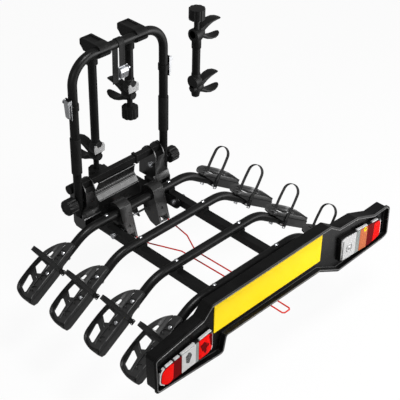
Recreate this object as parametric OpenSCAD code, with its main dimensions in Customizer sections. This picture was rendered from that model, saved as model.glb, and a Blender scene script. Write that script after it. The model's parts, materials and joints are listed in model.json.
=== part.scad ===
// Towbar bike rack for four bicycles, clamped on a 50 mm tow ball.
// Origin at the centre of the tow ball, +X to the right, +Y towards the vehicle, +Z up. Millimetres.

/* [Tow ball coupling] */
// Bore of the socket over the 50 mm ball
socket_d = 50.4; // [50.1:0.1:51]
// Half width of the coupling head
head_half_w = 38; // [34:1:44]
// Half length of the coupling head
head_half_l = 40; // [40:1:42]
// Top of the coupling head above the ball centre
head_top = 40; // [36:1:41]
// Skirt of the coupling head below the ball centre
head_skirt = 20; // [12:1:21]

/* [Chassis] */
// Inner face of each arm plate from the middle
arm_x = 125; // [115:1:126]
// Thickness of the arm plates
arm_t = 5; // [4:0.5:6]
// Radius of the round rear end of the arms
arm_end_r = 27; // [22:1:28]
// Diameter of the tilt bolts
tilt_bolt_d = 12; // [10:1:14]

/* [Platform] */
// Half of the distance between the rails
rail_x = 150; // [146:1:156]
// Side of the square rail tube
rail_side = 30; // [26:1:32]
// Wall of the rail tube
rail_wall = 2.5; // [2:0.5:4]
// Distance between neighbouring cross tubes
tube_pitch = 173.5; // [165:0.5:180]
// Outer diameter of the cross tubes
tube_d = 32; // [28:1:34]
// Wall of the cross tubes
tube_wall = 2; // [1.5:0.5:3]
// Bend point of the cross tubes from the middle
bend_x = 245; // [235:1:260]
// Droop of the tube wings
wing_angle = 33; // [25:1:38]
// Length of a tube wing from the bend point
wing_l = 292; // [285:1:300]

/* [Wheel trays] */
// Space between the top of a tray's curve and the same place on the next tray's lip
tray_gap = 77.5; // [70:0.5:86]
// Height of the raised rim over the base
rim_h = 22; // [14:1:26]
// Width of the raised rim
rim_w = 20; // [14:1:24]
// Height of a wheel strap over the base
strap_h = 118; // [100:1:130]
// Width of the strap webbing
strap_w = 16; // [12:1:24]

/* [Hoop] */
// Distance of each leg from the middle
leg_x = 203; // [203:1:206]
// Height of the top bar over the ball centre
hoop_top = 598; // [560:1:640]
// Outer diameter of the upper tube
hoop_d = 32; // [30:1:32]
// Outer diameter of the lower legs
leg_d = 30; // [28:1:30]
// Radius of the two corners
corner_r = 89; // [80:1:89]

/* [Light board] */
// Width of the number plate
plate_w = 520; // [500:1:524]
// Height of the number plate
plate_h = 111; // [105:1:115]
// Depth of the board shell
board_depth = 47; // [40:1:50]
// Wall of the board shell
board_wall = 4; // [3:0.5:6]

/* [Frame holders] */
// Outer diameter of the holder tubes
holder_d = 30; // [26:1:32]
// Diameter of the holder knobs
knob_d = 59; // [50:1:60]
// Height of the holder knobs
knob_h = 40; // [30:1:44]

/* [Hidden] */
$fn = 48;

// Clearances: running fit and fixed fit on the radius, and the excess that makes a cut pass through
run = 0.05;
fit = 0.1;
cut = 1;

// Places of the main axes, as [y, z]
pivot = [-166, -35.5];
hoop_axis = [-28, 55];
tube_1_y = -110;
tube_z = -2.5;
tube_r = tube_d / 2;
rail_z = tube_z - tube_r - 2 - rail_side / 2;
rail_front = -10;

// Sheet and fastener sizes
sheet = 3;
bolt_d = 8;
bolt_head_d = 14;
bolt_head_h = 5;
nut_h = 7;

function tube_y(i) = tube_1_y - i * tube_pitch;
rail_rear = tube_y(3) - 45.5;

// Helpers: extrude an outline given as [y, z] along X, or as [x, z] along Y, and place things on both sides
module slab_x(x0, x1) {
    translate([x0, 0, 0]) rotate([90, 0, 90]) linear_extrude(x1 - x0) children();
}
module slab_y(y0, y1) {
    translate([0, y1, 0]) rotate([90, 0, 0]) linear_extrude(y1 - y0) children();
}
module block(lo, hi) {
    translate(lo) cube(hi - lo);
}
module rod_x(x0, x1, at, d) {
    translate([x0, at[0], at[1]]) rotate([0, 90, 0]) cylinder(d = d, h = x1 - x0);
}
module both() {
    children();
    mirror([1, 0, 0]) children();
}
module side_of(side) {
    scale([side, 1, 1]) children();
}

// Chassis frame: two arms inside the rails, two cross plates, a deck that carries the head, two keepers
arm_top = -21;
arm_bottom = -62.5;
chassis_front = 40;
cross_plate_y = -52;
cross_plate_t = 4;
deck_z = [-26, -20];
keeper_r = 97;
keeper_x = [24, 30];
keeper_z = [-92, -58];
module chassis_frame() {
    color([0.07, 0.07, 0.07]) difference() {
        union() {
            both() slab_x(arm_x, arm_x + arm_t) {
                translate(pivot) circle(r = arm_end_r);
                translate([pivot[0], arm_bottom]) square([chassis_front - pivot[0], arm_top - arm_bottom]);
            }
            block([-arm_x, cross_plate_y, arm_bottom], [arm_x, cross_plate_y + cross_plate_t, arm_top]);
            block([-arm_x, chassis_front - cross_plate_t, arm_bottom], [arm_x, chassis_front, arm_top]);
            block([-arm_x, cross_plate_y, deck_z[0]], [arm_x, chassis_front, deck_z[1]]);
            both() slab_x(keeper_x[0], keeper_x[1]) difference() {
                translate([pivot[0], keeper_z[0]])
                    square([cross_plate_y - pivot[0] + cross_plate_t, keeper_z[1] - keeper_z[0]]);
                translate(pivot) circle(r = keeper_r);
            }
        }
        rod_x(-arm_x - 2 * arm_t, arm_x + 2 * arm_t, pivot, tilt_bolt_d + 2 * run);
        translate([0, 0, arm_bottom - cut])
            cylinder(d = socket_d + 2 * arm_t, h = arm_top - arm_bottom + 2 * arm_t);
        block([-jaw_slot_x, -head_half_l - 2 * cut, deck_z[0] - cut], [jaw_slot_x, 0, deck_z[1]]);
    }
}

// Coupling head: closed housing over the ball with a slot for the jaw and two lugs for the lever.
// A round wall holds the widest part of the ball, a dome its top; the bore widens between them and below.
head_chamfer = 10;
wall_half_l = 10;
relief_r = 26.5;
relief_top = 16.5;
jaw_pin = [-31, 24];
jaw_slot_x = 12;
jaw_slot_y = -23;
jaw_slot_top = 33;
lever_pin = [10, 53];
lug_x = [13, 17];
lug_r = 10;
module coupling_head() {
    color([0.16, 0.16, 0.17]) difference() {
        union() {
            slab_x(-head_half_w, head_half_w) polygon([
                [-head_half_l, -head_skirt], [head_half_l, -head_skirt],
                [head_half_l, head_top - head_chamfer], [head_half_l - head_chamfer, head_top],
                [-head_half_l + head_chamfer, head_top], [-head_half_l, head_top - head_chamfer]]);
            both() slab_x(lug_x[0], lug_x[1]) {
                translate(lever_pin) circle(r = lug_r);
                translate([lever_pin[0] - lug_r, head_top - cut])
                    square([2 * lug_r, lever_pin[1] - head_top + cut]);
            }
        }
        sphere(d = socket_d);
        translate([0, 0, -wall_half_l]) cylinder(d = socket_d, h = 2 * wall_half_l);
        translate([0, 0, wall_half_l]) cylinder(r = relief_r, h = relief_top - wall_half_l);
        translate([0, 0, -head_skirt - cut]) cylinder(r = relief_r, h = head_skirt + cut - wall_half_l);
        block([-jaw_slot_x, -head_half_l - cut, -head_skirt - cut], [jaw_slot_x, jaw_slot_y, jaw_slot_top]);
        rod_x(-head_half_w - cut, head_half_w + cut, jaw_pin, bolt_d + 2 * run);
        rod_x(-lug_x[1] - cut, lug_x[1] + cut, lever_pin, bolt_d + 2 * run);
    }
}

// Clamp jaw: closes behind the ball, hangs on its pin, and its lip goes under the ball's widest part
jaw_half_x = 11;
jaw_hub_r = 6.5;
jaw_y = [-38, -24.5];
jaw_bottom = -19.5;
jaw_lip = [-21.5, -12.5];
module clamp_jaw() {
    color([0.55, 0.56, 0.58]) difference() {
        slab_x(-jaw_half_x, jaw_half_x) {
            translate(jaw_pin) circle(r = jaw_hub_r);
            polygon([[jaw_y[0], jaw_pin[1]], [jaw_y[0], jaw_bottom], [jaw_lip[0], jaw_bottom], jaw_lip,
                [jaw_y[1], jaw_lip[1]], [jaw_y[1], jaw_pin[1]]]);
        }
        sphere(d = socket_d + cut);
        translate([0, 0, -wall_half_l - cut]) cylinder(d = socket_d + cut, h = 2 * wall_half_l + 2 * cut);
        rod_x(-jaw_half_x - cut, jaw_half_x + cut, jaw_pin, bolt_d + 2 * run);
    }
}

// Clamp lever: lies over the head towards the vehicle and lifts
lever_half_x = 11;
lever_hub_r = 9;
lever_outline = [[10, 44], [62, 48], [84, 56], [84, 63], [60, 60], [10, 62]];
module clamp_lever() {
    color([0.6, 0.08, 0.06]) difference() {
        slab_x(-lever_half_x, lever_half_x) {
            translate(lever_pin) circle(r = lever_hub_r);
            polygon(lever_outline);
        }
        rod_x(-lever_half_x - cut, lever_half_x + cut, lever_pin, bolt_d + 2 * run);
    }
}

// Chassis bolts: two tilt bolts with spacers, the jaw pin and the lever pin
tilt_head_d = 22;
tilt_head_h = 9;
spacer_d = 24;
pin_overhang = 3;
module chassis_bolts() {
    rail_outer = rail_x + rail_side / 2;
    rail_inner = rail_x - rail_side / 2;
    color([0.75, 0.76, 0.78]) {
        both() {
            rod_x(arm_x - tilt_head_h - pin_overhang, rail_outer + cut, pivot, tilt_bolt_d);
            rod_x(rail_outer + fit, rail_outer + tilt_head_h, pivot, tilt_head_d, $fn = 6);
            rod_x(arm_x - tilt_head_h, arm_x - fit, pivot, tilt_head_d, $fn = 6);
            difference() {
                rod_x(arm_x + arm_t + fit, rail_inner - fit, pivot, spacer_d);
                rod_x(arm_x + arm_t, rail_inner, pivot, tilt_bolt_d + 2 * run);
            }
        }
        rod_x(-head_half_w - pin_overhang, head_half_w + pin_overhang, jaw_pin, bolt_d);
        rod_x(-lug_x[1] - pin_overhang, lug_x[1] + pin_overhang, lever_pin, bolt_d);
    }
}

// Rails: square tube with holes for the tilt bolt and the crossing bolts
module rail(side) {
    color([0.09, 0.09, 0.1]) side_of(side) difference() {
        block([rail_x - rail_side / 2, rail_rear, rail_z - rail_side / 2],
            [rail_x + rail_side / 2, rail_front, rail_z + rail_side / 2]);
        block([rail_x - rail_side / 2 + rail_wall, rail_rear - cut, rail_z - rail_side / 2 + rail_wall],
            [rail_x + rail_side / 2 - rail_wall, rail_front + cut, rail_z + rail_side / 2 - rail_wall]);
        rod_x(rail_x - rail_side, rail_x + rail_side, pivot, tilt_bolt_d + 2 * run);
        for (i = [0:3]) translate([rail_x, tube_y(i), rail_z - rail_side])
            cylinder(d = bolt_d + 2 * fit, h = 2 * rail_side);
    }
}

// Rail plugs: one in each rail end
plug_t = 3;
plug_stub = 14;
module rail_plugs() {
    stub_half = rail_side / 2 - rail_wall - fit;
    color([0.06, 0.06, 0.06]) both() {
        for (end = [[rail_rear, -1], [rail_front, 1]]) translate([rail_x, end[0], rail_z])
            scale([1, end[1], 1]) {
            block([-rail_side / 2, 0, -rail_side / 2], [rail_side / 2, plug_t, rail_side / 2]);
            block([-stub_half, -plug_stub, -stub_half], [stub_half, cut / 2, stub_half]);
        }
    }
}

// Cross tubes: straight middle, two bends and two drooping wings, drilled for the crossing and tray bolts
bend_r = 152;
tray_bolt_s = [wing_l - 183, wing_l - 97];
// Angle left open where a bend meets a straight run
seam = 0.01;
module tube_section() {
    difference() {
        circle(d = tube_d);
        circle(d = tube_d - 2 * tube_wall);
    }
}
module on_wing(i) {
    translate([bend_x, tube_y(i), tube_z]) rotate([0, wing_angle, 0]) children();
}
module straight_run(i) {
    half = bend_x - bend_r * tan(wing_angle / 2);
    difference() {
        translate([-half, tube_y(i), tube_z]) rotate([90, 0, 90]) linear_extrude(2 * half) tube_section();
        for (x = [-rail_x, rail_x]) translate([x, tube_y(i), tube_z - tube_d])
            cylinder(d = bolt_d + 2 * fit, h = 2 * tube_d);
    }
}
module wing_run(i) {
    tangent = bend_r * tan(wing_angle / 2);
    translate([bend_x - tangent, tube_y(i), tube_z - bend_r]) rotate([90, 0, 0])
        rotate([0, 0, 90 - wing_angle + seam])
        rotate_extrude(angle = wing_angle - 2 * seam) translate([bend_r, 0]) tube_section();
    on_wing(i) difference() {
        translate([tangent, 0, 0]) rotate([90, 0, 90]) linear_extrude(wing_l - tangent) tube_section();
        for (s = tray_bolt_s) translate([s, 0, -tube_d]) cylinder(d = bolt_d + 2 * fit, h = 2 * tube_d);
    }
}
module cross_tube(i) {
    color([0.1, 0.1, 0.11]) {
        straight_run(i);
        wing_run(i);
        mirror([1, 0, 0]) wing_run(i);
    }
}

// Saddles: cradle each cross tube on its rail
saddle_half_y = 19;
saddle_top = -9;
module tube_saddles() {
    rail_top = rail_z + rail_side / 2;
    color([0.07, 0.07, 0.07]) both() for (i = [0:3]) difference() {
        block([rail_x - rail_side / 2, tube_y(i) - saddle_half_y, rail_top],
            [rail_x + rail_side / 2, tube_y(i) + saddle_half_y, saddle_top]);
        rod_x(rail_x - rail_side, rail_x + rail_side, [tube_y(i), tube_z], tube_d);
        translate([rail_x, tube_y(i), rail_top - cut]) cylinder(d = bolt_d + 2 * fit, h = tube_d);
    }
}

// Frame bolts: crossing bolts through tube, saddle and rail, and tray bolts through tray and tube
module dome_bolt(top, bottom) {
    translate([0, 0, bottom - nut_h]) cylinder(d = bolt_d, h = top - bottom + nut_h + cut);
    translate([0, 0, top]) cylinder(d = bolt_head_d, h = bolt_head_h / 2);
    translate([0, 0, top + bolt_head_h / 2]) cylinder(d1 = bolt_head_d, d2 = bolt_d, h = bolt_head_h / 2);
    translate([0, 0, bottom - nut_h]) cylinder(d = bolt_head_d, h = nut_h, $fn = 6);
}
module frame_bolts() {
    color([0.8, 0.81, 0.83]) both() for (i = [0:3]) {
        translate([rail_x, tube_y(i), 0]) dome_bolt(tube_z + tube_r, rail_z - rail_side / 2);
        on_wing(i) for (s = tray_bolt_s) translate([s, 0, 0]) dome_bolt(tray_base + tray_t, -tube_r);
    }
}

// Uprights: folded channel on each rail's front end; its web faces the rear
cheek_inner = [143, 146];
cheek_outer = [184, 187];
web_y = -50;
foot_x = [131, 207];
foot_y = [-60, 0];
foot_top = -7;
foot_bottom = -53.5;
foot_leg_y = [-44, -12];
web_outline = [[143, -8], [143, 58], [158, 92], [187, 92], [187, 39], [203, 24], [205, -8]];
cheek_outline = [[-50, -8], [-50, 92], [-44, 108], [-34, 120], [-22, 126], [-8, 126], [8, 117], [22, 102],
    [33, 80], [39, 50], [40, -8]];
foot_plate_outline = [[-56, -7], [-3, -7], [0, -12], [0, -40], [-12, -53.5], [-44, -53.5], [-60, -36],
    [-60, -12]];
flange_outline = [[-50, 14], [-47, 14], [-47, -8], [-60, -10], [-60, -7], [-57, -5]];
stop_bolt_at = [10, 91];
bar_y = [-28, -7];
bar_z = [95, 122];
module upright(side) {
    pad_top = foot_top - sheet;
    color([0.08, 0.08, 0.09]) side_of(side) difference() {
        union() {
            slab_y(web_y, web_y + sheet) polygon(web_outline);
            for (x = [cheek_inner, cheek_outer]) slab_x(x[0], x[1]) polygon(cheek_outline);
            slab_x(foot_x[0], foot_x[1]) polygon(flange_outline);
            block([foot_x[0], foot_y[0], pad_top], [foot_x[1], foot_y[1], foot_top]);
            block([cheek_inner[0], 0, pad_top], [cheek_outer[1], chassis_front, foot_top]);
            slab_x(foot_x[0] + cut, foot_x[0] + cut + sheet) polygon(foot_plate_outline);
            slab_x(foot_x[1] - sheet, foot_x[1]) polygon(foot_plate_outline);
            block([rail_x - rail_side / 2, foot_y[0], rail_z + rail_side / 2],
                [rail_x + rail_side / 2, foot_y[1], pad_top]);
            block([foot_x[0] + cut, foot_leg_y[0], foot_bottom],
                [foot_x[1], foot_leg_y[1], rail_z - rail_side / 2]);
        }
        rod_x(foot_x[0], foot_x[1], hoop_axis, tilt_bolt_d + 2 * fit);
        rod_x(cheek_outer[0] - cut, cheek_outer[1] + cut, stop_bolt_at, bolt_d + 2 * fit);
        block([cheek_inner[0] - cut, bar_y[0] - fit, bar_z[0] - fit],
            [cheek_inner[1] + cut, bar_y[1] + fit, bar_z[1] + fit]);
    }
}

// Tie bar between the uprights
bar_wall = 2;
module tie_bar() {
    color([0.08, 0.08, 0.09]) difference() {
        block([-cheek_outer[0], bar_y[0], bar_z[0]], [cheek_outer[0], bar_y[1], bar_z[1]]);
        block([-cheek_outer[0] - cut, bar_y[0] + bar_wall, bar_z[0] + bar_wall],
            [cheek_outer[0] + cut, bar_y[1] - bar_wall, bar_z[1] - bar_wall]);
    }
}

// Stop bolts: round cap nuts outside the outer cheeks
cap_d = 34;
cap_l = 28;
module stop_bolts() {
    color([0.05, 0.05, 0.05]) both() {
        rod_x(cheek_outer[0] - nut_h, cheek_outer[1] + cut, stop_bolt_at, bolt_d);
        rod_x(cheek_outer[0] - nut_h, cheek_outer[0], stop_bolt_at, bolt_head_d, $fn = 6);
        rod_x(cheek_outer[1], cheek_outer[1] + cap_l, stop_bolt_at, cap_d);
    }
}

// Clip round the tie bar beside the cover
clip_x = [66, 78];
clip_t = 4;
module cover_clip() {
    color([0.06, 0.06, 0.06]) difference() {
        block([clip_x[0], bar_y[0] - clip_t, bar_z[0] - clip_t],
            [clip_x[1], bar_y[1] + clip_t, bar_z[1] + clip_t]);
        block([clip_x[0] - cut, bar_y[0], bar_z[0]], [clip_x[1] + cut, bar_y[1], bar_z[1]]);
    }
}

// Clamp cover: one folded sheet, hung under the tie bar
cover_x = [-130, 58];
cover_line = [[-60, -10], [-50, 31], [-34, 52], [-27, 59], [-31, 92], [-8, 95]];
cover_corner = 22;
module fold_line(points, t) {
    for (k = [0:len(points) - 2]) {
        a = points[k];
        b = points[k + 1];
        l = norm(b - a);
        translate(a) rotate(atan2(b[1] - a[1], b[0] - a[0])) translate([0, -t]) square([l, t]);
        if (k > 0) translate(a) circle(r = t, $fn = 24);
    }
}
module clamp_cover() {
    color([0.1, 0.1, 0.11]) difference() {
        intersection() {
            slab_x(cover_x[0], cover_x[1]) fold_line(cover_line, sheet);
            block([cover_x[0], cover_line[0][0] - tube_d, cover_line[0][1]], [cover_x[1], 0, bar_z[0]]);
        }
        slab_y(cover_line[0][0] - tube_d, 0) polygon([[cover_x[0] - cut, bar_z[0] + cut],
            [cover_x[0] - cut, bar_z[0] - 2 * cover_corner], [cover_x[0] + cover_corner, bar_z[0] + cut]]);
    }
}

// Hoop axles: bolt through each upright and its leg, carrying the knob
knob_x = [222, 262];
axle_d = 12;
module hoop_axles() {
    color([0.78, 0.79, 0.8]) both() {
        rod_x(cheek_inner[0] - tilt_head_h - pin_overhang, knob_x[1] - 2 * bolt_d, hoop_axis, axle_d);
        rod_x(cheek_inner[0] - tilt_head_h, cheek_inner[0], hoop_axis, tilt_head_d, $fn = 6);
    }
}

// Wheel tray: base plate, raised rim along a curve, channel over the tube, lip, ramp and end cap.
// Local frame: s along the wing from the bend point, y across, n square to the wing.
tray_base = tube_r + 0.3;
tray_t = 3.7;
tray_depth = tube_pitch - tray_gap;
tray_s = [wing_l - 226, wing_l + 28];
tray_peak_s = wing_l - 61;
tray_lip_y = -18;
tray_steps = 9;
inner_power = 2;
outer_power = 3;
channel_y = [-12, 30];
channel_h = 8;
channel_t = 3;
channel_s = [wing_l - 218, wing_l + 12];
lip_t = 4;
lip_h = 9;
// Skirt below the lip, as [s, n]: it hides the tube's outer part
skirt_outline = [[channel_s[0], tray_base + cut], [wing_l - 190, 8], [wing_l - 150, 3], [wing_l - 118, -3],
    [wing_l - 106, -13], [channel_s[1] - 8, -14], [channel_s[1], -6], [channel_s[1], tray_base + cut]];
spoke_s = [wing_l - 174, wing_l - 100];
spoke_half = 5;
ramp_s = wing_l - 142;
end_loop_s = [wing_l - 6, wing_l + 26];
end_loop_y = [-30, 30];
end_cap_half = 17;
end_cap_l = 9;
// One curve of the tray, drawn in by a margin: half an ellipse inwards and half a squarer curve outwards
function tray_curve(margin) = let (depth = tray_depth - margin, inner = tray_peak_s - tray_s[0] - margin,
        outer = tray_s[1] - tray_peak_s - margin)
    concat([for (k = [0:tray_steps]) let (u = cos(90 * k / tray_steps))
            [tray_peak_s - inner * u, tray_lip_y + depth * pow(1 - pow(u, inner_power), 1 / inner_power)]],
        [for (k = [1:tray_steps]) let (u = sin(90 * k / tray_steps))
            [tray_peak_s + outer * u, tray_lip_y + depth * pow(1 - pow(u, outer_power), 1 / outer_power)]]);
module tray_opening(s0, s1) {
    intersection() {
        polygon(tray_curve(rim_w));
        translate([s0, channel_y[1]]) square([s1 - s0, tray_depth]);
    }
}
module tray(i) {
    on_wing(i) difference() {
        union() {
            translate([0, 0, tray_base]) linear_extrude(tray_t) difference() {
                polygon(tray_curve(0));
                tray_opening(tray_s[0], spoke_s[0] - spoke_half);
                tray_opening(spoke_s[0] + spoke_half, spoke_s[1] - spoke_half);
                tray_opening(spoke_s[1] + spoke_half, tray_s[1]);
            }
            translate([0, 0, tray_base]) linear_extrude(tray_t + rim_h) difference() {
                polygon(tray_curve(0));
                polygon(tray_curve(rim_w));
                translate([tray_s[0] - cut, tray_lip_y - cut])
                    square([ramp_s - tray_s[0], tray_depth + 2 * cut]);
            }
            intersection() {
                translate([0, 0, tray_base]) linear_extrude(tray_t + rim_h) difference() {
                    polygon(tray_curve(0));
                    polygon(tray_curve(rim_w));
                }
                rotate([90, 0, 0]) translate([0, 0, -tray_depth]) linear_extrude(2 * tray_depth) polygon([
                    [tray_s[0], tray_base], [ramp_s, tray_base], [ramp_s, tray_base + tray_t + rim_h],
                    [tray_s[0], tray_base + 2 * tray_t]]);
            }
            for (y = channel_y) block([channel_s[0], y - channel_t / 2, tray_base],
                [channel_s[1], y + channel_t / 2, tray_base + tray_t + channel_h]);
            block([channel_s[0], tray_lip_y - lip_t, tray_base],
                [channel_s[1], tray_lip_y, tray_base + lip_h]);
            slab_y(tray_lip_y - lip_t, tray_lip_y) polygon(skirt_outline);
            for (s = spoke_s) block([s - spoke_half, channel_y[1], tray_base],
                [s + spoke_half, tray_lip_y + tray_depth - 2 * rim_w, tray_base + tray_t + channel_h]);
            block([end_loop_s[0], end_loop_y[0], tray_base],
                [end_loop_s[1], end_loop_y[1], tray_base + tray_t]);
            block([wing_l + fit, -end_cap_half, -end_cap_half],
                [wing_l + end_cap_l, end_cap_half, tray_base + cut]);
        }
        for (s = tray_bolt_s) translate([s, 0, 0]) cylinder(d = bolt_d + 2 * fit, h = 2 * tube_d);
    }
}
module trays(side) {
    color([0.12, 0.12, 0.13]) side_of(side) for (i = [0:3]) tray(i);
}

// Wheel straps: a loop over each tray and under its tube, outside the lip, with a small square buckle
strap_t = 2.5;
strap_s = wing_l - 132;
strap_line_y = [tray_lip_y - lip_t - strap_t - 2 * fit, 40];
strap_bottom = -tube_r - fit - strap_t;
strap_round = 6;
buckle_t = 3;
buckle_n = [-24, -5];
buckle_half_s = 10;
buckle_bar = 3;
module strap_outline(inset) {
    r = (strap_line_y[1] - strap_line_y[0]) / 2;
    top = tray_base + tray_t + strap_h - r;
    hull() {
        translate([strap_line_y[0] + r, top]) circle(r = r - inset);
        for (y = [strap_line_y[0] + strap_round, strap_line_y[1] - strap_round])
            translate([y, strap_bottom + strap_round]) circle(r = strap_round - inset);
    }
}
module wheel_straps() {
    color([0.04, 0.04, 0.04]) both() for (i = [0:3])
        on_wing(i) slab_x(strap_s - strap_w / 2, strap_s + strap_w / 2) difference() {
            strap_outline(0);
            strap_outline(strap_t);
        }
}
module strap_buckles() {
    back = strap_line_y[0] - fit;
    color([0.08, 0.08, 0.09]) both() for (i = [0:3]) on_wing(i) translate([strap_s, 0, 0]) difference() {
        block([-buckle_half_s, back - buckle_t, buckle_n[0]], [buckle_half_s, back, buckle_n[1]]);
        block([-buckle_half_s + buckle_bar, back - buckle_t - cut, buckle_n[0] + buckle_bar],
            [buckle_half_s - buckle_bar, back + cut, buckle_n[1] - buckle_bar]);
    }
}

// Light board: shell with a rim towards the rear, a panel behind the number plate and the lamps
board_outline = [[-523, 8], [-322, 44], [-286, 80.5], [283, 81], [334, 47], [434, 42], [533, 3], [608, 5],
    [624, -9], [630, -125], [603, -132], [355, -141], [245, -82], [-218, -80], [-230, -145], [-517, -125]];
board_round = 12;
board_rear = tube_y(3) - 122.5;
panel_y = [board_rear + 18, board_rear + 22];
module board_shape(inset) {
    offset(r = board_round - inset, $fn = 24) offset(delta = -board_round) polygon(board_outline);
}
module light_board() {
    color([0.05, 0.05, 0.05]) difference() {
        slab_y(board_rear, board_rear + board_depth) board_shape(0);
        slab_y(board_rear - cut, panel_y[0]) board_shape(board_wall);
        slab_y(panel_y[1], board_rear + board_depth + cut) board_shape(board_wall);
    }
}

// Board brackets: a strap plate on each rail's outer side with a foot against the panel
bracket_y = [panel_y[1] + 0.2, board_rear + 113];
bracket_z = [-49, -22];
bracket_foot_w = 34;
module board_brackets() {
    rail_outer = rail_x + rail_side / 2;
    color([0.08, 0.08, 0.09]) both() {
        block([rail_outer, bracket_y[0], bracket_z[0]], [rail_outer + sheet, bracket_y[1], bracket_z[1]]);
        block([rail_outer, bracket_y[0], bracket_z[0]],
            [rail_outer + bracket_foot_w, bracket_y[0] + sheet, bracket_z[1]]);
    }
}

// Number plate, bare
plate_t = 2.5;
plate_z = -0.5;
module number_plate() {
    color([0.95, 0.76, 0.05]) slab_y(panel_y[0] - plate_t, panel_y[0])
        translate([-plate_w / 2, plate_z - plate_h / 2]) square([plate_w, plate_h]);
}

// Lamps: a body and its lenses, each side with its own outline and its own division
lamp_y = [board_rear + 4, panel_y[0]];
lens_y = [board_rear, board_rear + 4];
lamp_left = [[-500, -49], [-504, -100], [-477, -121], [-279, -105], [-278, -21], [-454, -43]];
lamp_right = [[361, -109], [355, -9], [583, -32], [586, -110], [523, -121]];
lens_inset = 3;
left_cuts = [-447, -413, -341];
right_cuts = [440, 462, 505, 543];
function lamp_outline(left) = left ? lamp_left : lamp_right;
module lamp_body(left) {
    color([0.06, 0.06, 0.06]) slab_y(lamp_y[0], lamp_y[1]) polygon(lamp_outline(left));
}
module lens(left, x0, x1) {
    slab_y(lens_y[0], lens_y[1]) intersection() {
        offset(delta = -lens_inset) polygon(lamp_outline(left));
        translate([x0, rail_rear]) square([x1 - x0, -2 * rail_rear]);
    }
}
module lenses_red() {
    color([0.75, 0.03, 0.03]) {
        lens(true, lamp_left[1][0], left_cuts[0]);
        lens(true, left_cuts[0], left_cuts[1]);
        lens(true, left_cuts[2], lamp_left[4][0]);
        lens(false, right_cuts[2], right_cuts[3]);
        lens(false, right_cuts[3], lamp_right[3][0]);
    }
}
module lenses_clear() {
    color([0.85, 0.87, 0.88]) {
        lens(true, left_cuts[1], left_cuts[2]);
        lens(false, lamp_right[1][0], right_cuts[0]);
        lens(false, right_cuts[0], right_cuts[1]);
    }
}
module lenses_amber() {
    color([0.95, 0.35, 0.05]) lens(false, right_cuts[1], right_cuts[2]);
}

// Latch brackets: domed channels hanging on the first cross tube, their webs to the rear
bracket_x_left = [-105, -55];
bracket_x_right = [53, 103];
dome_at = [-104, 3];
dome_r = 36;
web_foot = [-167, -96];
latch_front = [[-145, -120], [-115, -112], [-85, -83], [-70, -20]];
dome_steps = 12;
dome_to = 138;
function dome_arc(r)
    = [for (k = [0:dome_steps]) let (a = dome_to * k / dome_steps) dome_at + r * [cos(a), sin(a)]];
web_top = dome_arc(dome_r)[dome_steps];
latch_rod_at = [-85, -72];
latch_rod_d = 8;
slot_z = [-89.5, -74];
slot_half_w = 16;
latch_hole_z = -40;
latch_hole_d = 10;
module latch_bracket(x) {
    lean = atan2(web_top[0] - web_foot[0], web_top[1] - web_foot[1]);
    mid = (x[0] + x[1]) / 2;
    color([0.2, 0.2, 0.21]) difference() {
        union() {
            for (x0 = [x[0], x[1] - sheet]) slab_x(x0, x0 + sheet)
                polygon(concat(dome_arc(dome_r), [web_foot], latch_front));
            slab_x(x[0], x[1]) polygon([web_top, web_foot, web_foot + [sheet, 0], web_top + [sheet, 0]]);
            slab_x(x[0], x[1]) polygon(concat(dome_arc(dome_r),
                [for (k = [dome_steps:-1:0]) dome_arc(dome_r - sheet)[k]]));
        }
        rod_x(x[0] - cut, x[1] + cut, [tube_1_y, tube_z], tube_d + 2 * run);
        rod_x(x[0] - cut, x[1] + cut, latch_rod_at, latch_rod_d + 2 * run);
        block([mid - slot_half_w, web_foot[0], slot_z[0]], [mid + slot_half_w, latch_rod_at[0], slot_z[1]]);
        translate([mid, web_foot[0] - cut, latch_hole_z]) rotate([-90 - lean, 0, 0])
            cylinder(d = latch_hole_d, h = dome_r);
    }
}

// Latch rod through both brackets, with a collar outside each
collar_d = 16;
collar_l = 6;
module latch_rod() {
    color([0.75, 0.76, 0.78]) {
        rod_x(bracket_x_left[0] - collar_l, bracket_x_right[1] + collar_l, latch_rod_at, latch_rod_d);
        for (x = [bracket_x_left[0] - collar_l - fit, bracket_x_right[1] + fit])
            rod_x(x, x + collar_l, latch_rod_at, collar_d);
    }
}

// Release rod: one long loop of red wire that runs from the brackets' slots to behind the board
wire_d = 5;
wire_stop_d = 12;
wire_stop_l = 4;
wire_end_y = board_rear - 47;
wire_mid_y = tube_y(2) - 103;
wire_path = [[-80, -140, -78], [-80, -168, -78], [-70, -240, -78], [-18, -350, -80], [-4, wire_mid_y, -87],
    [-4, wire_end_y, -87], [2, wire_end_y - 6, -87], [24, wire_end_y - 6, -87], [30, wire_end_y, -87],
    [30, wire_mid_y, -87], [18, -380, -80], [58, -300, -79], [78, -172, -78], [78, -140, -78]];
wire_sides = 10;
function unit(v) = v / norm(v);
function heading(p, k)
    = unit((k < len(p) - 1 ? unit(p[k + 1] - p[k]) : [0, 0, 0])
    + (k > 0 ? unit(p[k] - p[k - 1]) : [0, 0, 0]));
function mitre(p, k) = k == 0 || k == len(p) - 1 ? 1 : 1 / (unit(p[k + 1] - p[k]) * heading(p, k));
module wire(p, d) {
    rings = [for (k = [0:len(p) - 1], j = [0:wire_sides - 1])
        let (b = heading(p, k), n = unit(cross([0, 0, 1], b)),
        a = 360 * j / wire_sides) p[k] + d / 2 * (cos(a) * mitre(p, k) * n + sin(a) * cross(b, n))];
    last = (len(p) - 1) * wire_sides;
    sides = [for (k = [0:len(p) - 2], j = [0:wire_sides - 1])
        let (m = k * wire_sides, i = (j + 1) % wire_sides)
        [m + j, m + wire_sides + j, m + wire_sides + i, m + i]];
    polyhedron(rings, concat([[for (j = [0:wire_sides - 1]) j]], sides,
        [[for (j = [wire_sides - 1:-1:0]) last + j]]));
}
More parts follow.
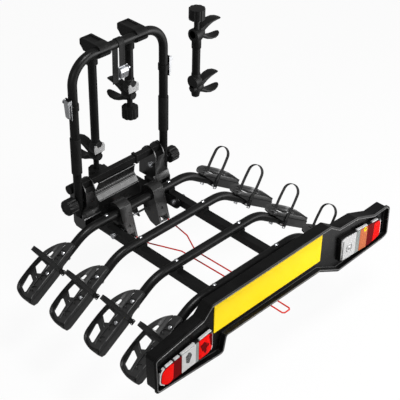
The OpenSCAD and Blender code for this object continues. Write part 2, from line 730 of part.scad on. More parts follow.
module release_rod() {
    color([0.8, 0.06, 0.03]) {
        wire(wire_path, wire_d);
        for (p = [wire_path[0], wire_path[len(wire_path) - 1]])
            translate([p[0], p[1] - wire_stop_l / 2, p[2]]) rotate([-90, 0, 0])
                cylinder(d = wire_stop_d, h = wire_stop_l);
    }
}

// Rod guide: a plate under the last cross tube with a hole for each leg of the wire
guide_x = [-13, 39];
guide_t = 4;
guide_bottom = -96;
module rod_guide() {
    y = tube_y(3);
    color([0.08, 0.08, 0.09]) difference() {
        block([guide_x[0], y - guide_t / 2, guide_bottom],
            [guide_x[1], y + guide_t / 2, tube_z - tube_r + cut]);
        rod_x(guide_x[0] - cut, guide_x[1] + cut, [y, tube_z], tube_d);
        for (k = [4, 9]) translate([wire_path[k][0], y - guide_t, wire_path[k][2]]) rotate([-90, 0, 0])
            cylinder(d = wire_d + 4 * run, h = 2 * guide_t);
    }
}

// Hoop: upper bent tube, two lower legs and the sleeves that join them
sleeve_d = 37;
sleeve_z = [178, 316];
joint_z = 240;
leg_bottom = -5;
leg_round = 8;
hoop_wall = 2;
module ring(d, wall) {
    difference() {
        circle(d = d);
        circle(d = d - 2 * wall);
    }
}
module hoop_upper() {
    y = hoop_axis[0];
    color([0.08, 0.08, 0.09]) {
        translate([-leg_x + corner_r, y, hoop_top]) rotate([90, 0, 90])
            linear_extrude(2 * (leg_x - corner_r)) ring(hoop_d, hoop_wall);
        both() {
            translate([leg_x, y, joint_z]) linear_extrude(hoop_top - corner_r - joint_z)
                ring(hoop_d, hoop_wall);
            translate([leg_x - corner_r, y, hoop_top - corner_r]) rotate([90, 0, 0])
                rotate_extrude(angle = 90) translate([corner_r, 0]) ring(hoop_d, hoop_wall);
        }
    }
}
module hoop_legs() {
    y = hoop_axis[0];
    color([0.07, 0.07, 0.08]) both() difference() {
        translate([leg_x, y, 0]) rotate_extrude()
            polygon([[0, leg_bottom], [leg_d / 2 - leg_round, leg_bottom],
            [leg_d / 2, leg_bottom + leg_round], [leg_d / 2, joint_z], [leg_d / 2 - hoop_wall, joint_z],
            [leg_d / 2 - hoop_wall, leg_bottom + leg_round + hoop_wall],
                [0, leg_bottom + leg_round + hoop_wall]]);
        rod_x(leg_x - leg_d, leg_x + leg_d, hoop_axis, axle_d + 2 * run);
    }
}
module hoop_sleeves() {
    y = hoop_axis[0];
    color([0.06, 0.06, 0.06]) both() translate([leg_x, y, 0]) rotate_extrude() polygon([
        [leg_d / 2, sleeve_z[0]], [sleeve_d / 2, sleeve_z[0]], [sleeve_d / 2, sleeve_z[1]],
        [hoop_d / 2, sleeve_z[1]], [hoop_d / 2, joint_z], [leg_d / 2, joint_z]]);
}

// Knobs: a round grip with scallops, used on the hoop and on the holders
hoop_knob_d = 58;
scallops = 10;
scallop_d = 12;
module knob_shape(d, h, hole) {
    difference() {
        cylinder(d = d, h = h);
        for (k = [0:scallops - 1]) rotate([0, 0, 360 * k / scallops])
            translate([d / 2 + scallop_d / 3, 0, -cut])
            cylinder(d = scallop_d, h = h + 2 * cut, $fn = 24);
        translate([0, 0, -cut]) cylinder(d = hole, h = h - 2 * bolt_d + 2 * cut);
    }
}
module hoop_knob(side) {
    color([0.05, 0.05, 0.05]) side_of(side) translate([knob_x[0], hoop_axis[0], hoop_axis[1]])
        rotate([0, 90, 0])
        knob_shape(hoop_knob_d, knob_x[1] - knob_x[0], axle_d + 2 * run);
}

// Cam buckles: one on the outer side of each leg and one on the top strap, each with its lever
cam_y = [-42, -14];
cam_z = [396, 472];
cam_x = [219.2, 223];
cam_ring = [424, 446];
cam_ring_t = 3;
cam_pin_d = 5;
cam_pin_z = 462;
cam_pin_x = 229;
cam_ear = 3;
lever_gap = 0.3;
cam_lever = [[224, 404], [229, 404], [233, 450], [233, 466], [225, 466], [224, 440]];
top_cam_x = [-22, 18];
top_cam_z = [475, 522];
top_cam_t = 2.6;
top_pin = [-54.5, 512];
top_lever = [[-58.5, 516], [-52, 516], [-50.5, 513], [-50.5, 500], [-51.5, 480], [-55.5, 480], [-59.5, 502]];
module cam_buckles() {
    color([0.6, 0.61, 0.63]) {
        both() difference() {
            union() {
                block([cam_x[0], cam_y[0], cam_z[0]], [cam_x[1], cam_y[1], cam_z[1]]);
                for (y = [cam_y[0], cam_y[1] - cam_ear])
                    slab_ear(y) translate([cam_pin_x, cam_pin_z]) circle(d = 3 * cam_pin_d);
                for (y = [cam_y[0], cam_y[1] - cam_ear])
                    block([cam_x[0], y, cam_pin_z - 1.5 * cam_pin_d],
                        [cam_pin_x, y + cam_ear, cam_pin_z + 1.5 * cam_pin_d]);
                translate([leg_x, hoop_axis[0], cam_ring[0]])
                    cylinder(d = hoop_d + 2 * cam_ring_t, h = cam_ring[1] - cam_ring[0]);
                translate([cam_pin_x, cam_y[0] + cut, cam_pin_z]) rotate([-90, 0, 0])
                    cylinder(d = cam_pin_d, h = cam_y[1] - cam_y[0] - 2 * cut);
            }
            translate([leg_x, hoop_axis[0], cam_ring[0] - cut])
                cylinder(d = hoop_d, h = cam_ring[1] - cam_ring[0] + 2 * cut);
        }
        block([top_cam_x[0], web_rear_y - top_cam_t, top_cam_z[0]],
            [top_cam_x[1], web_rear_y, top_cam_z[1]]);
        for (x = [top_cam_x[0], top_cam_x[1] - cam_ear]) slab_x(x, x + cam_ear) {
            translate(top_pin) circle(d = 3 * cam_pin_d);
            translate([top_pin[0], top_pin[1] - 1.5 * cam_pin_d])
                square([web_rear_y - top_pin[0], 3 * cam_pin_d]);
        }
        rod_x(top_cam_x[0] + cut, top_cam_x[1] - cut, top_pin, cam_pin_d);
    }
}
module slab_ear(y) {
    slab_y(y, y + cam_ear) children();
}
module side_lever(side) {
    color([0.7, 0.71, 0.73]) side_of(side) difference() {
        slab_y(cam_y[0] + cam_ear + lever_gap, cam_y[1] - cam_ear - lever_gap) polygon(cam_lever);
        translate([cam_pin_x, cam_y[0], cam_pin_z]) rotate([-90, 0, 0])
            cylinder(d = cam_pin_d + 2 * run, h = cam_y[1] - cam_y[0]);
    }
}
module buckle_lever_top() {
    color([0.7, 0.71, 0.73]) difference() {
        slab_x(top_cam_x[0] + cam_ear + lever_gap, top_cam_x[1] - cam_ear - lever_gap) polygon(top_lever);
        rod_x(top_cam_x[0], top_cam_x[1], top_pin, cam_pin_d + 2 * run);
    }
}

// Top strap: webbing laid over the top bar, short at the rear and long at the front
web_x = [-18, 14];
web_t = 2.5;
web_rear_z = 478;
web_rear_y = hoop_axis[0] - hoop_d / 2 - fit - web_t;
web_front_z = 440;
module top_strap() {
    y = hoop_axis[0];
    color([0.05, 0.05, 0.05]) slab_x(web_x[0], web_x[1]) {
        translate([y, hoop_top]) difference() {
            circle(r = hoop_d / 2 + fit + web_t);
            circle(r = hoop_d / 2 + fit);
            translate([-hoop_d, -2 * hoop_d]) square([2 * hoop_d, 2 * hoop_d]);
        }
        translate([web_rear_y, web_rear_z]) square([web_t, hoop_top - web_rear_z]);
        translate([y + hoop_d / 2 + fit, web_front_z]) square([web_t, hoop_top - web_front_z]);
    }
}

// Frame holders. Each stands on a vertical tube axis. The hoop claw reaches back over the top bar, the frame
// claw reaches forward, and the knob below closes it. Holder 3 is loose, upside down, beside the hoop.
holder_y = 24;
holder_x = [-74, 90];
bar_reach = holder_y - hoop_axis[0];
claw_half_x = 23;
claw_r = 24;
claw_hub_d = 40;
claw_hub_drop = [71, 12];
claw_hook = [[52, 24], [-24, 24], [-31, 17], [-31, -2], [-24, -8], [-14, -20], [14, -20], [30, -24],
    [52, -24]];
mouth_gap = [-5, 9];
recess_half_x = 14;
recess_a = [-20, 34];
recess_depth = 4;
frame_mouth_a = 76;
frame_jaw_r = 42;
frame_bite_a = 96;
frame_bite_r = 32;
frame_half_x = 15;
frame_root = [[-19, -24], [50, -34], [50, 34], [19, 30], [19, 80], [-19, 80], [-19, 20]];
hub_half_x = 22;
plate_r = 32;
plate_t_claw = 4;
plate_half_x = 27;
plate_rise = [34, 82];
neck_d = 24;
mouth_over_knob = 56;
knob_hole_d = 10;
// Mouth height of each frame claw, and the height at which each tube ends in its hub
frame_mouth_z = [168, 353];
tube_gap = 30;
// Claw that holds the top bar. Outline [a, z]: a from the tube axis towards the bar, z from its centre
module hoop_claw_shape(bar) {
    difference() {
        union() {
            slab_x(-claw_half_x, claw_half_x) {
                translate([bar_reach, 0]) circle(r = claw_r);
                polygon(claw_hook);
            }
            translate([0, 0, -claw_hub_drop[0]])
                cylinder(d = claw_hub_d, h = claw_hub_drop[0] - claw_hub_drop[1]);
        }
        rod_x(-claw_half_x - cut, claw_half_x + cut, [bar_reach, 0], bar);
        block([-claw_half_x - cut, bar_reach, mouth_gap[0]],
            [claw_half_x + cut, 2 * bar_reach, mouth_gap[1]]);
        block([-recess_half_x, recess_a[0], claw_r - recess_depth],
            [recess_half_x, recess_a[1], claw_r + cut]);
        translate([0, 0, -claw_hub_drop[0] - cut]) cylinder(d = holder_d, h = tube_seat + cut);
    }
}
tube_seat = 36;
module frame_claw_shape() {
    difference() {
        union() {
            slab_x(-frame_half_x, frame_half_x) difference() {
                union() {
                    translate([frame_mouth_a, 0]) circle(r = frame_jaw_r);
                    polygon(frame_root);
                }
                translate([frame_bite_a, 0]) circle(r = frame_bite_r);
            }
            translate([0, 0, tube_gap]) cylinder(d = claw_hub_d, h = plate_rise[1] - tube_gap);
            intersection() {
                translate([0, plate_t_claw, plate_rise[0]]) difference() {
                    cylinder(r = plate_r, h = plate_rise[1] - plate_rise[0]);
                    translate([0, 0, -cut]) cylinder(r = plate_r - plate_t_claw, h = plate_rise[1]);
                }
                block([-plate_half_x, -plate_r, 0], [plate_half_x, 0, plate_rise[1]]);
            }
            block([-hub_half_x, -plate_r + plate_t_claw + 2 * cut, tube_gap],
                [hub_half_x, 0, plate_rise[0] + 2 * plate_t_claw]);
            translate([0, 0, -mouth_over_knob]) cylinder(d = neck_d, h = mouth_over_knob);
        }
        translate([0, 0, plate_rise[1] - tube_seat]) cylinder(d = holder_d, h = tube_seat + plate_t_claw);
    }
}
// Place a child that is written upright for holder n: 0 and 1 on the hoop, 2 loose and upside down
loose_at = [366, -28, 506];
loose_bar_drop = 228;
module hoop_claw(n) {
    color([0.07, 0.07, 0.07]) if (n < 2)
        translate([holder_x[n], holder_y, hoop_top]) mirror([0, 1, 0]) hoop_claw_shape(hoop_d + 2 * run);
    else
        translate([loose_at[0], loose_at[1], loose_at[2] - loose_bar_drop]) rotate([0, 0, -90])
            mirror([0, 0, 1])
            hoop_claw_shape(hoop_d + 2 * run);
}
module frame_claw(n) {
    color([0.07, 0.07, 0.07]) if (n < 2)
        translate([holder_x[n], holder_y, frame_mouth_z[n]]) frame_claw_shape();
    else
        translate(loose_at) rotate([0, 0, -90]) mirror([0, 0, 1]) frame_claw_shape();
}
module holder_tube(n) {
    claw_end = -claw_hub_drop[0] + tube_seat;
    seat = plate_rise[1] - tube_seat;
    color([0.08, 0.08, 0.09]) if (n < 2)
        translate([holder_x[n], holder_y, frame_mouth_z[n] + seat])
            linear_extrude(hoop_top + claw_end - frame_mouth_z[n] - seat) ring(holder_d, hoop_wall);
    else
        translate([loose_at[0], loose_at[1], loose_at[2] - loose_bar_drop - claw_end])
            linear_extrude(loose_bar_drop + claw_end - seat) ring(holder_d, hoop_wall);
}
module holder_knob(n) {
    color([0.05, 0.05, 0.05]) if (n < 2)
        translate([holder_x[n], holder_y, frame_mouth_z[n] - mouth_over_knob - lever_gap - knob_h])
            knob_shape(knob_d, knob_h, knob_hole_d);
    else
        translate([loose_at[0], loose_at[1], loose_at[2] + mouth_over_knob + lever_gap])
            knob_shape(knob_d, knob_h, knob_hole_d);
}

chassis_frame();
coupling_head();
clamp_jaw();
clamp_lever();
chassis_bolts();
rail(-1);  // rail_left
rail(1);  // rail_right
rail_plugs();
cross_tube(0);  // cross_tube_1
cross_tube(1);  // cross_tube_2
cross_tube(2);  // cross_tube_3
cross_tube(3);  // cross_tube_4
tube_saddles();
frame_bolts();
upright(-1);  // upright_left
upright(1);  // upright_right
tie_bar();
stop_bolts();
cover_clip();
clamp_cover();
hoop_axles();
trays(-1);  // trays_left
trays(1);  // trays_right
wheel_straps();
strap_buckles();
light_board();
board_brackets();
number_plate();
lamp_body(true);  // lamp_body_left
lamp_body(false);  // lamp_body_right
lenses_red();
lenses_clear();
lenses_amber();
latch_bracket(bracket_x_left);  // latch_bracket_left
latch_bracket(bracket_x_right);  // latch_bracket_right
latch_rod();
release_rod();
rod_guide();
hoop_upper();
hoop_legs();
hoop_sleeves();
hoop_knob(-1);  // hoop_knob_left
hoop_knob(1);  // hoop_knob_right
cam_buckles();
side_lever(-1);  // buckle_lever_left
side_lever(1);  // buckle_lever_right
buckle_lever_top();
top_strap();
holder_tube(0);  // holder_1_tube
hoop_claw(0);  // holder_1_hoop_claw
frame_claw(0);  // holder_1_frame_claw
holder_knob(0);  // holder_1_knob
holder_tube(1);  // holder_2_tube
hoop_claw(1);  // holder_2_hoop_claw
frame_claw(1);  // holder_2_frame_claw
holder_knob(1);  // holder_2_knob
holder_tube(2);  // holder_3_tube
hoop_claw(2);  // holder_3_hoop_claw
frame_claw(2);  // holder_3_frame_claw
holder_knob(2);  // holder_3_knob
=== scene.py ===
import json
import math
from functools import partial
import bmesh
import bpy
from mathutils import Matrix, Vector
from mathutils.geometry import tessellate_polygon


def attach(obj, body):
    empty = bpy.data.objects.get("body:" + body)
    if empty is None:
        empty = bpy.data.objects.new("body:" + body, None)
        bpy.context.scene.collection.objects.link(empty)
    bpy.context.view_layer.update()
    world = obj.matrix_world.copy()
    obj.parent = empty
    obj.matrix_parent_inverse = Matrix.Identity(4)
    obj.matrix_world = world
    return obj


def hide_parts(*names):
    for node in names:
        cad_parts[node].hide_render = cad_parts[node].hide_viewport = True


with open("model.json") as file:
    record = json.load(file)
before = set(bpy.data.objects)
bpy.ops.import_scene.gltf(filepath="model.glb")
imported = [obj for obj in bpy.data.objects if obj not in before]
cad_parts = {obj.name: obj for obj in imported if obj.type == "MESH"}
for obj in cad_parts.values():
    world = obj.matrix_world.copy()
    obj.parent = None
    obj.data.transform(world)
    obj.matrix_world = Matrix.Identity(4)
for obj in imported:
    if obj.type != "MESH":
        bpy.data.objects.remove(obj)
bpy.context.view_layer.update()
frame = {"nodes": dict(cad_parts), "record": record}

nodes = frame["nodes"]
body_of_node = {n: b for b, names in frame["record"]["behaviour"]["bodies"].items() for n in names}
slot_of_node = {s["node"]: s["material_slot"] for s in frame["record"]["subparts"]}


# Camera: fitted to the photograph's yellow plate, rails and cross tubes, in metres
CAMERA_AT = Vector((-2.1073, -2.4396, 2.2397))
CAMERA_LOOK = Vector((0.587698, 0.564679, -0.579438))
CAMERA_UP = Vector((0.401921, 0.417796, 0.814804))
FOCAL_PX = 1082.24
FRAME_PX = 400
SENSOR_MM = 36.0


def make_camera():
    data = bpy.data.cameras.new("camera")
    data.sensor_width = SENSOR_MM
    data.lens = FOCAL_PX / FRAME_PX * SENSOR_MM
    camera = bpy.data.objects.new("camera", data)
    bpy.context.scene.collection.objects.link(camera)
    back = -CAMERA_LOOK.normalized()
    right = CAMERA_UP.cross(back).normalized()
    up = back.cross(right)
    turn = Matrix((right, up, back)).transposed()
    camera.matrix_world = Matrix.Translation(CAMERA_AT) @ turn.to_4x4()
    bpy.context.scene.camera = camera


# Node material helpers
class Shader:
    """A material with its node tree, and short calls that add nodes to it."""

    def __init__(self, name):
        self.material = bpy.data.materials.new(name)
        self.material.use_nodes = True
        self.tree = self.material.node_tree
        self.bsdf = self.tree.nodes["Principled BSDF"]
        self.coords = self.tree.nodes.new("ShaderNodeTexCoord").outputs["Object"]

    def feed(self, socket, value):
        """Link an output to a node's input, or set the input's number."""
        if isinstance(value, bpy.types.NodeSocket):
            self.tree.links.new(value, socket)
        else:
            socket.default_value = value

    def add(self, kind, **sockets):
        node = self.tree.nodes.new(kind)
        for key, value in sockets.items():
            self.feed(node.inputs[key.replace("_", " ")], value)
        return node

    def calculate(self, operation, *values):
        """A math node on numbers or outputs."""
        node = self.tree.nodes.new("ShaderNodeMath")
        node.operation = operation
        for socket, value in zip(node.inputs, values):
            self.feed(socket, value)
        return node.outputs[0]

    def ramp_between(self, value, start, end):
        """A number that goes from 0 to 1 as an output goes from start to end."""
        return self.add("ShaderNodeMapRange", Value=value, From_Min=start, From_Max=end).outputs[0]

    def noise(self, scale, detail=3.0):
        return self.add("ShaderNodeTexNoise", Vector=self.coords, Scale=scale, Detail=detail,
                        Roughness=0.55)

    def place(self):
        """The object coordinates, split into their X, Y and Z."""
        return self.add("ShaderNodeSeparateXYZ", Vector=self.coords).outputs

    def ramp(self, factor, stops):
        node = self.add("ShaderNodeValToRGB", Fac=factor)
        elements = node.color_ramp.elements
        while len(elements) < len(stops):
            elements.new(0.5)
        for element, (place, colour) in zip(elements, stops):
            element.position = place
            element.color = colour
        return node.outputs["Color"]

    def link(self, output, name):
        self.tree.links.new(output, self.bsdf.inputs[name])

    def mottle(self, name, pattern, low, high):
        """Drive an input of the surface by a pattern, between two stops of place and colour."""
        self.link(self.ramp(pattern.outputs["Fac"], [low, high]), name)

    def bump(self, height, strength, distance):
        node = self.add("ShaderNodeBump", Height=height, Strength=strength, Distance=distance)
        self.link(node.outputs["Normal"], "Normal")

    def set(self, **values):
        for key, value in values.items():
            self.bsdf.inputs[key.replace("_", " ")].default_value = value


def grey(value):
    return (value, value, value, 1.0)


def tint(red, green, blue):
    return (red, green, blue, 1.0)


def powder_coat(name, dark, light, rough, gloss_level=0.2):
    """Satin black powder coat: slight unevenness of colour and gloss over a fine orange peel."""
    shader = Shader(name)
    shader.mottle("Base Color", shader.noise(9.0, 4.0), (0.35, grey(dark)), (0.7, grey(light)))
    shader.mottle("Roughness", shader.noise(45.0), (0.3, grey(rough - 0.05)), (0.75, grey(rough + 0.07)))
    shader.bump(shader.noise(900.0, 2.0).outputs["Fac"], 0.12, 0.0004)
    shader.set(Specular_IOR_Level=gloss_level)
    return shader.material


def moulded_plastic(name, base, light, rough, grain=700.0, depth=0.0003, gloss_level=0.2):
    """Moulded plastic with a fine eroded grain."""
    shader = Shader(name)
    shader.mottle("Base Color", shader.noise(14.0), (0.35, base), (0.75, light))
    shader.mottle("Roughness", shader.noise(60.0), (0.3, grey(rough - 0.06)), (0.75, grey(rough + 0.06)))
    shader.bump(shader.noise(grain).outputs["Fac"], 0.2, depth)
    shader.set(Specular_IOR_Level=gloss_level)
    return shader.material


def bright_metal(name, dark, light, rough):
    """Zinc plated or ground steel with faint cloudy patches."""
    shader = Shader(name)
    shader.mottle("Base Color", shader.noise(60.0, 4.0), (0.3, dark), (0.75, light))
    gloss = shader.noise(220.0)
    shader.mottle("Roughness", gloss, (0.3, grey(rough - 0.07)), (0.75, grey(rough + 0.1)))
    shader.bump(gloss.outputs["Fac"], 0.08, 0.0002)
    shader.set(Metallic=1.0)
    return shader.material


def webbing_cloth(name):
    """Woven webbing: a fine diagonal weave in bump and colour."""
    shader = Shader(name)
    weave = shader.add("ShaderNodeTexWave", Vector=shader.coords, Scale=260.0, Distortion=1.5)
    weave.wave_type = "BANDS"
    weave.bands_direction = "DIAGONAL"
    shader.mottle("Base Color", weave, (0.2, grey(0.003)), (0.8, grey(0.010)))
    shader.bump(weave.outputs["Fac"], 0.5, 0.0006)
    shader.set(Roughness=0.8, Sheen_Weight=0.08, Specular_IOR_Level=0.25)
    return shader.material


def lens_plastic(name, deep, bright):
    """Moulded lens: fine ribs show through a glossy coloured face."""
    shader = Shader(name)
    ribs = shader.add("ShaderNodeTexWave", Vector=shader.coords, Scale=95.0, Distortion=0.3)
    ribs.wave_type = "BANDS"
    ribs.bands_direction = "X"
    shader.mottle("Base Color", ribs, (0.1, deep), (0.9, bright))
    shader.bump(ribs.outputs["Fac"], 0.25, 0.0008)
    shader.set(Roughness=0.2, Specular_IOR_Level=0.03)
    return shader.material


# Where the rod's red ends and its painted shade begins: the rod is painted dark where it runs through the
# latch brackets' slots, as their shade. In metres along Y
ROD_SLOT_SHADE_FROM = -0.186
ROD_SLOT_SHADE_FULL = -0.182


def rod_paint_and_slot_shade(name):
    """Red coated wire, with painted shade: its ends are dark where they run through the latch brackets'
    slots.
    """
    shader = Shader(name)
    # Painted shade: the rod turns dark along Y where it runs through the latch brackets' slots
    end = shader.ramp_between(shader.place()["Y"], ROD_SLOT_SHADE_FROM, ROD_SLOT_SHADE_FULL)
    shader.link(shader.ramp(end, [(0.0, tint(0.62, 0.014, 0.007)), (1.0, grey(0.006))]), "Base Color")
    shader.set(Roughness=0.4, Specular_IOR_Level=0.2)
    return shader.material


MATERIALS = {
    "black_paint": powder_coat("black_paint", 0.0035, 0.007, 0.36),
    "satin_paint": powder_coat("satin_paint", 0.0035, 0.007, 0.30, gloss_level=1.0),
    "cast": powder_coat("cast", 0.012, 0.02, 0.5),
    "rod_paint_and_slot_shade": rod_paint_and_slot_shade("rod_paint_and_slot_shade"),
    "red_coat": moulded_plastic("red_coat", tint(0.55, 0.012, 0.006), tint(0.70, 0.02, 0.01), 0.4),
    "black_plastic": moulded_plastic("black_plastic", grey(0.005), grey(0.010), 0.46),
    "board_plastic": moulded_plastic("board_plastic", grey(0.0025), grey(0.005), 0.30, 300.0, 0.0001, 0.16),
    "tray_plastic": moulded_plastic("tray_plastic", grey(0.005), grey(0.010), 0.36, gloss_level=1.0),
    "grip_plastic": moulded_plastic("grip_plastic", grey(0.006), grey(0.010), 0.42),
    "rubber_sleeve": moulded_plastic("rubber_sleeve", grey(0.005), grey(0.009), 0.55),
    "claw_face": moulded_plastic("claw_face", grey(0.34), grey(0.42), 0.45),
    "zinc": bright_metal("zinc", tint(0.52, 0.53, 0.55), tint(0.74, 0.75, 0.77), 0.30),
    "hardened": bright_metal("hardened", grey(0.3), grey(0.45), 0.35),
    "webbing": webbing_cloth("webbing"),
    "yellow_plate": moulded_plastic("yellow_plate", tint(0.93, 0.66, 0.004), tint(0.95, 0.69, 0.006), 0.5,
                                    1400.0, 0.0001, 0.12),
    "lens_red": lens_plastic("lens_red", tint(0.62, 0.001, 0.002), tint(0.90, 0.010, 0.006)),
    "lens_clear": lens_plastic("lens_clear", grey(0.36), grey(0.66)),
    "lens_amber": lens_plastic("lens_amber", tint(0.34, 0.07, 0.05), tint(0.62, 0.20, 0.06)),
}
# Nodes that show another material than their slot's
SHOWN_AS = {
    "clamp_lever": "cast", "release_rod": "rod_paint_and_slot_shade", "clamp_cover": "satin_paint",
    "latch_bracket_left": "satin_paint", "latch_bracket_right": "satin_paint",
    "upright_left": "satin_paint", "upright_right": "satin_paint",
}


def look(name):
    """The material that a node shows."""
    return MATERIALS[SHOWN_AS.get(name, slot_of_node[name])]


def smooth_by_angle(piece, angle):
    mesh = piece.data
    mesh.polygons.foreach_set("use_smooth", [True] * len(mesh.polygons))
    mesh.set_sharp_from_angle(angle=math.radians(angle))


# Refined pieces: a node's own shape with its edges rounded as pressed sheet, castings and mouldings have
# them. The cam buckles' rings lie within LEG_RING of a leg's axis and are black
MERGE_WITHIN = 0.00002
FLAT_ANGLE = math.radians(1.0)
EDGE_ANGLE = math.radians(28)
EDGE_SEGMENTS = 2
SMOOTH_ANGLE = 35.0
LEG_AXIS = (0.203, -0.028)
LEG_RING = 0.0215


def refined(name, width):
    """A node's shape with rounded edges, as a piece that stands for the node and rides on its body."""
    mesh = nodes[name].data.copy()
    mesh.name = name + "_shape"
    tool = bmesh.new()
    tool.from_mesh(mesh)
    bmesh.ops.remove_doubles(tool, verts=tool.verts, dist=MERGE_WITHIN)
    bmesh.ops.dissolve_limit(tool, angle_limit=FLAT_ANGLE, verts=tool.verts, edges=tool.edges)
    tool.to_mesh(mesh)
    tool.free()
    mesh.materials.clear()
    mesh.materials.append(look(name))
    if name == "cam_buckles":
        mesh.materials.append(MATERIALS["black_paint"])
        for face in mesh.polygons:
            reach = math.hypot(abs(face.center.x) - LEG_AXIS[0], face.center.y - LEG_AXIS[1])
            face.material_index = 1 if reach < LEG_RING else 0
    piece = bpy.data.objects.new(name + "_finished", mesh)
    bpy.context.scene.collection.objects.link(piece)
    bevel = piece.modifiers.new("edges", "BEVEL")
    bevel.width = width
    bevel.segments = EDGE_SEGMENTS
    bevel.limit_method = "ANGLE"
    bevel.angle_limit = EDGE_ANGLE
    smooth_by_angle(piece, SMOOTH_ANGLE)
    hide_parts(name)
    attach(piece, body_of_node[name])


# Width of the rounded edge, in metres
REFINED = {
    "upright_left": 0.0008, "upright_right": 0.0008, "clamp_cover": 0.0010, "tie_bar": 0.0020,
    "latch_bracket_left": 0.0010, "latch_bracket_right": 0.0010, "rail_left": 0.0022, "rail_right": 0.0022,
    "light_board": 0.0022, "number_plate": 0.0006,
    "cam_buckles": 0.0005, "buckle_lever_left": 0.0005, "buckle_lever_right": 0.0005,
    "buckle_lever_top": 0.0005, "holder_1_hoop_claw": 0.0020, "holder_2_hoop_claw": 0.0020,
    "board_brackets": 0.0008, "tube_saddles": 0.0010, "rail_plugs": 0.0012, "cover_clip": 0.0010,
    "stop_bolts": 0.0016, "hoop_sleeves": 0.0010, "chassis_frame": 0.0010, "coupling_head": 0.0012,
    "clamp_lever": 0.0010, "lamp_body_left": 0.0010, "lamp_body_right": 0.0010, "rod_guide": 0.0005,
}


def dress_nodes():
    for name in nodes:
        mesh = nodes[name].data
        mesh.materials.clear()
        mesh.materials.append(look(name))
    for name, width in REFINED.items():
        refined(name, width)


# Sizes repeated from the part's source, in millimetres
MM = 0.001
TUBE_Y = [-110.0 - 173.5 * i for i in range(4)]
TUBE_Z = -2.5
BEND_X = 245.0
WING = math.radians(33)
TRAY_BASE = 16.3
TRAY_TOP = 20.0
TRAY_BOLTS = (109.0, 195.0)
STRAP_S = 160.0
HOOP_AXIS = (-28.0, 55.0)


def on_wing(side, tube, s, y, n):
    """A point of a wing's own frame, s along the wing, y across and n square to it, in the part's frame."""
    x = BEND_X + s * math.cos(WING) + n * math.sin(WING)
    z = TUBE_Z - s * math.sin(WING) + n * math.cos(WING)
    return Vector((side * x, TUBE_Y[tube] + y, z)) * MM


def wing_axis(side, s, y):
    """A direction of a wing's own frame."""
    return on_wing(side, 0, s, y, 0) - on_wing(side, 0, 0, 0, 0)


def add_piece(name, tool, slot, body, node=(), material=None, smooth=SMOOTH_ANGLE):
    """Turn a bmesh into a piece that rides on a body and stands for the nodes it is given."""
    mesh = bpy.data.meshes.new(name + "_shape")
    bmesh.ops.recalc_face_normals(tool, faces=tool.faces)
    tool.to_mesh(mesh)
    tool.free()
    mesh.materials.append(material or MATERIALS[slot])
    piece = bpy.data.objects.new(name, mesh)
    bpy.context.scene.collection.objects.link(piece)
    smooth_by_angle(piece, smooth)
    if node:
        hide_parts(*node)
    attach(piece, body)


def add_band(tool, low, high):
    """Faces between two closed rows of vertices."""
    count = len(low)
    for k in range(count):
        tool.faces.new((low[k], low[(k + 1) % count], high[(k + 1) % count], high[k]))


def add_rings(tool, rings, closed=False):
    """Skin a row of equal rings of points."""
    rows = [[tool.verts.new(p) for p in ring] for ring in rings]
    pairs = list(zip(rows, rows[1:]))
    if closed:
        pairs.append((rows[-1], rows[0]))
    for low, high in pairs:
        add_band(tool, low, high)
    if not closed:
        tool.faces.new(list(reversed(rows[0])))
        tool.faces.new(rows[-1])


def add_sweep(tool, path, section, across, closed=False):
    """Sweep a flat section along a path. The section's first direction stays along the vector across."""
    rings = []
    count = len(path)
    for k, point in enumerate(path):
        before = path[k - 1] if k or closed else point
        after = path[(k + 1) % count] if k + 1 < count or closed else point
        along = (after - before).normalized()
        side = (across - along * across.dot(along)).normalized()
        up = along.cross(side)
        rings.append([point + side * a + up * b for a, b in section])
    add_rings(tool, rings, closed)


def circle(radius, sides):
    return [(radius * math.cos(2 * math.pi * k / sides), radius * math.sin(2 * math.pi * k / sides))
            for k in range(sides)]


# Corners: an angle that counts as straight, the share of a side that one corner may take, the shortest
# side, and the limit of an inset corner's mitre
STRAIGHT = math.radians(178)
SIDE_SHARE = 0.49
SHORTEST = 1e-6
MITRE_LIMIT = 0.4


def corner_arc(before, point, after, radius, steps):
    """Points of the arc that rounds one corner of a flat outline."""
    to_before = (before - point).normalized()
    to_after = (after - point).normalized()
    angle = to_before.angle(to_after)
    if radius <= 0 or angle > STRAIGHT:
        return [point]
    reach = radius / math.tan(angle / 2)
    reach = min(reach, SIDE_SHARE * (before - point).length, SIDE_SHARE * (after - point).length)
    radius = reach * math.tan(angle / 2)
    centre = point + (to_before + to_after).normalized() * (radius / math.sin(angle / 2))
    start = point + to_before * reach - centre
    end = point + to_after * reach - centre
    turn = start.angle_signed(end)
    arc = []
    for k in range(steps + 1):
        part = -turn * k / steps
        arc.append(centre + Vector((start.x * math.cos(part) - start.y * math.sin(part),
                                    start.x * math.sin(part) + start.y * math.cos(part))))
    return arc


def rounded(points, radii, steps=6):
    """A flat outline with its corners rounded by one radius each."""
    points = [Vector(p) for p in points]
    out = []
    for k, point in enumerate(points):
        out += corner_arc(points[k - 1], point, points[(k + 1) % len(points)], radii[k], steps)
    return out


def inset(points, distance):
    """A flat outline drawn in by a distance, for outlines without tight corners."""
    area = sum(a.x * b.y - b.x * a.y for a, b in zip(points, points[1:] + points[:1]))
    sign = 1 if area > 0 else -1
    out = []
    count = len(points)
    for k, point in enumerate(points):
        before = point - points[k - 1]
        after = points[(k + 1) % count] - point
        if before.length < SHORTEST:
            before = after
        if after.length < SHORTEST:
            after = before
        square = Vector((-after.y, after.x)).normalized()
        normal = (Vector((-before.y, before.x)).normalized() + square).normalized()
        out.append(point + normal * sign * distance / max(MITRE_LIMIT, normal.dot(square)))
    return out


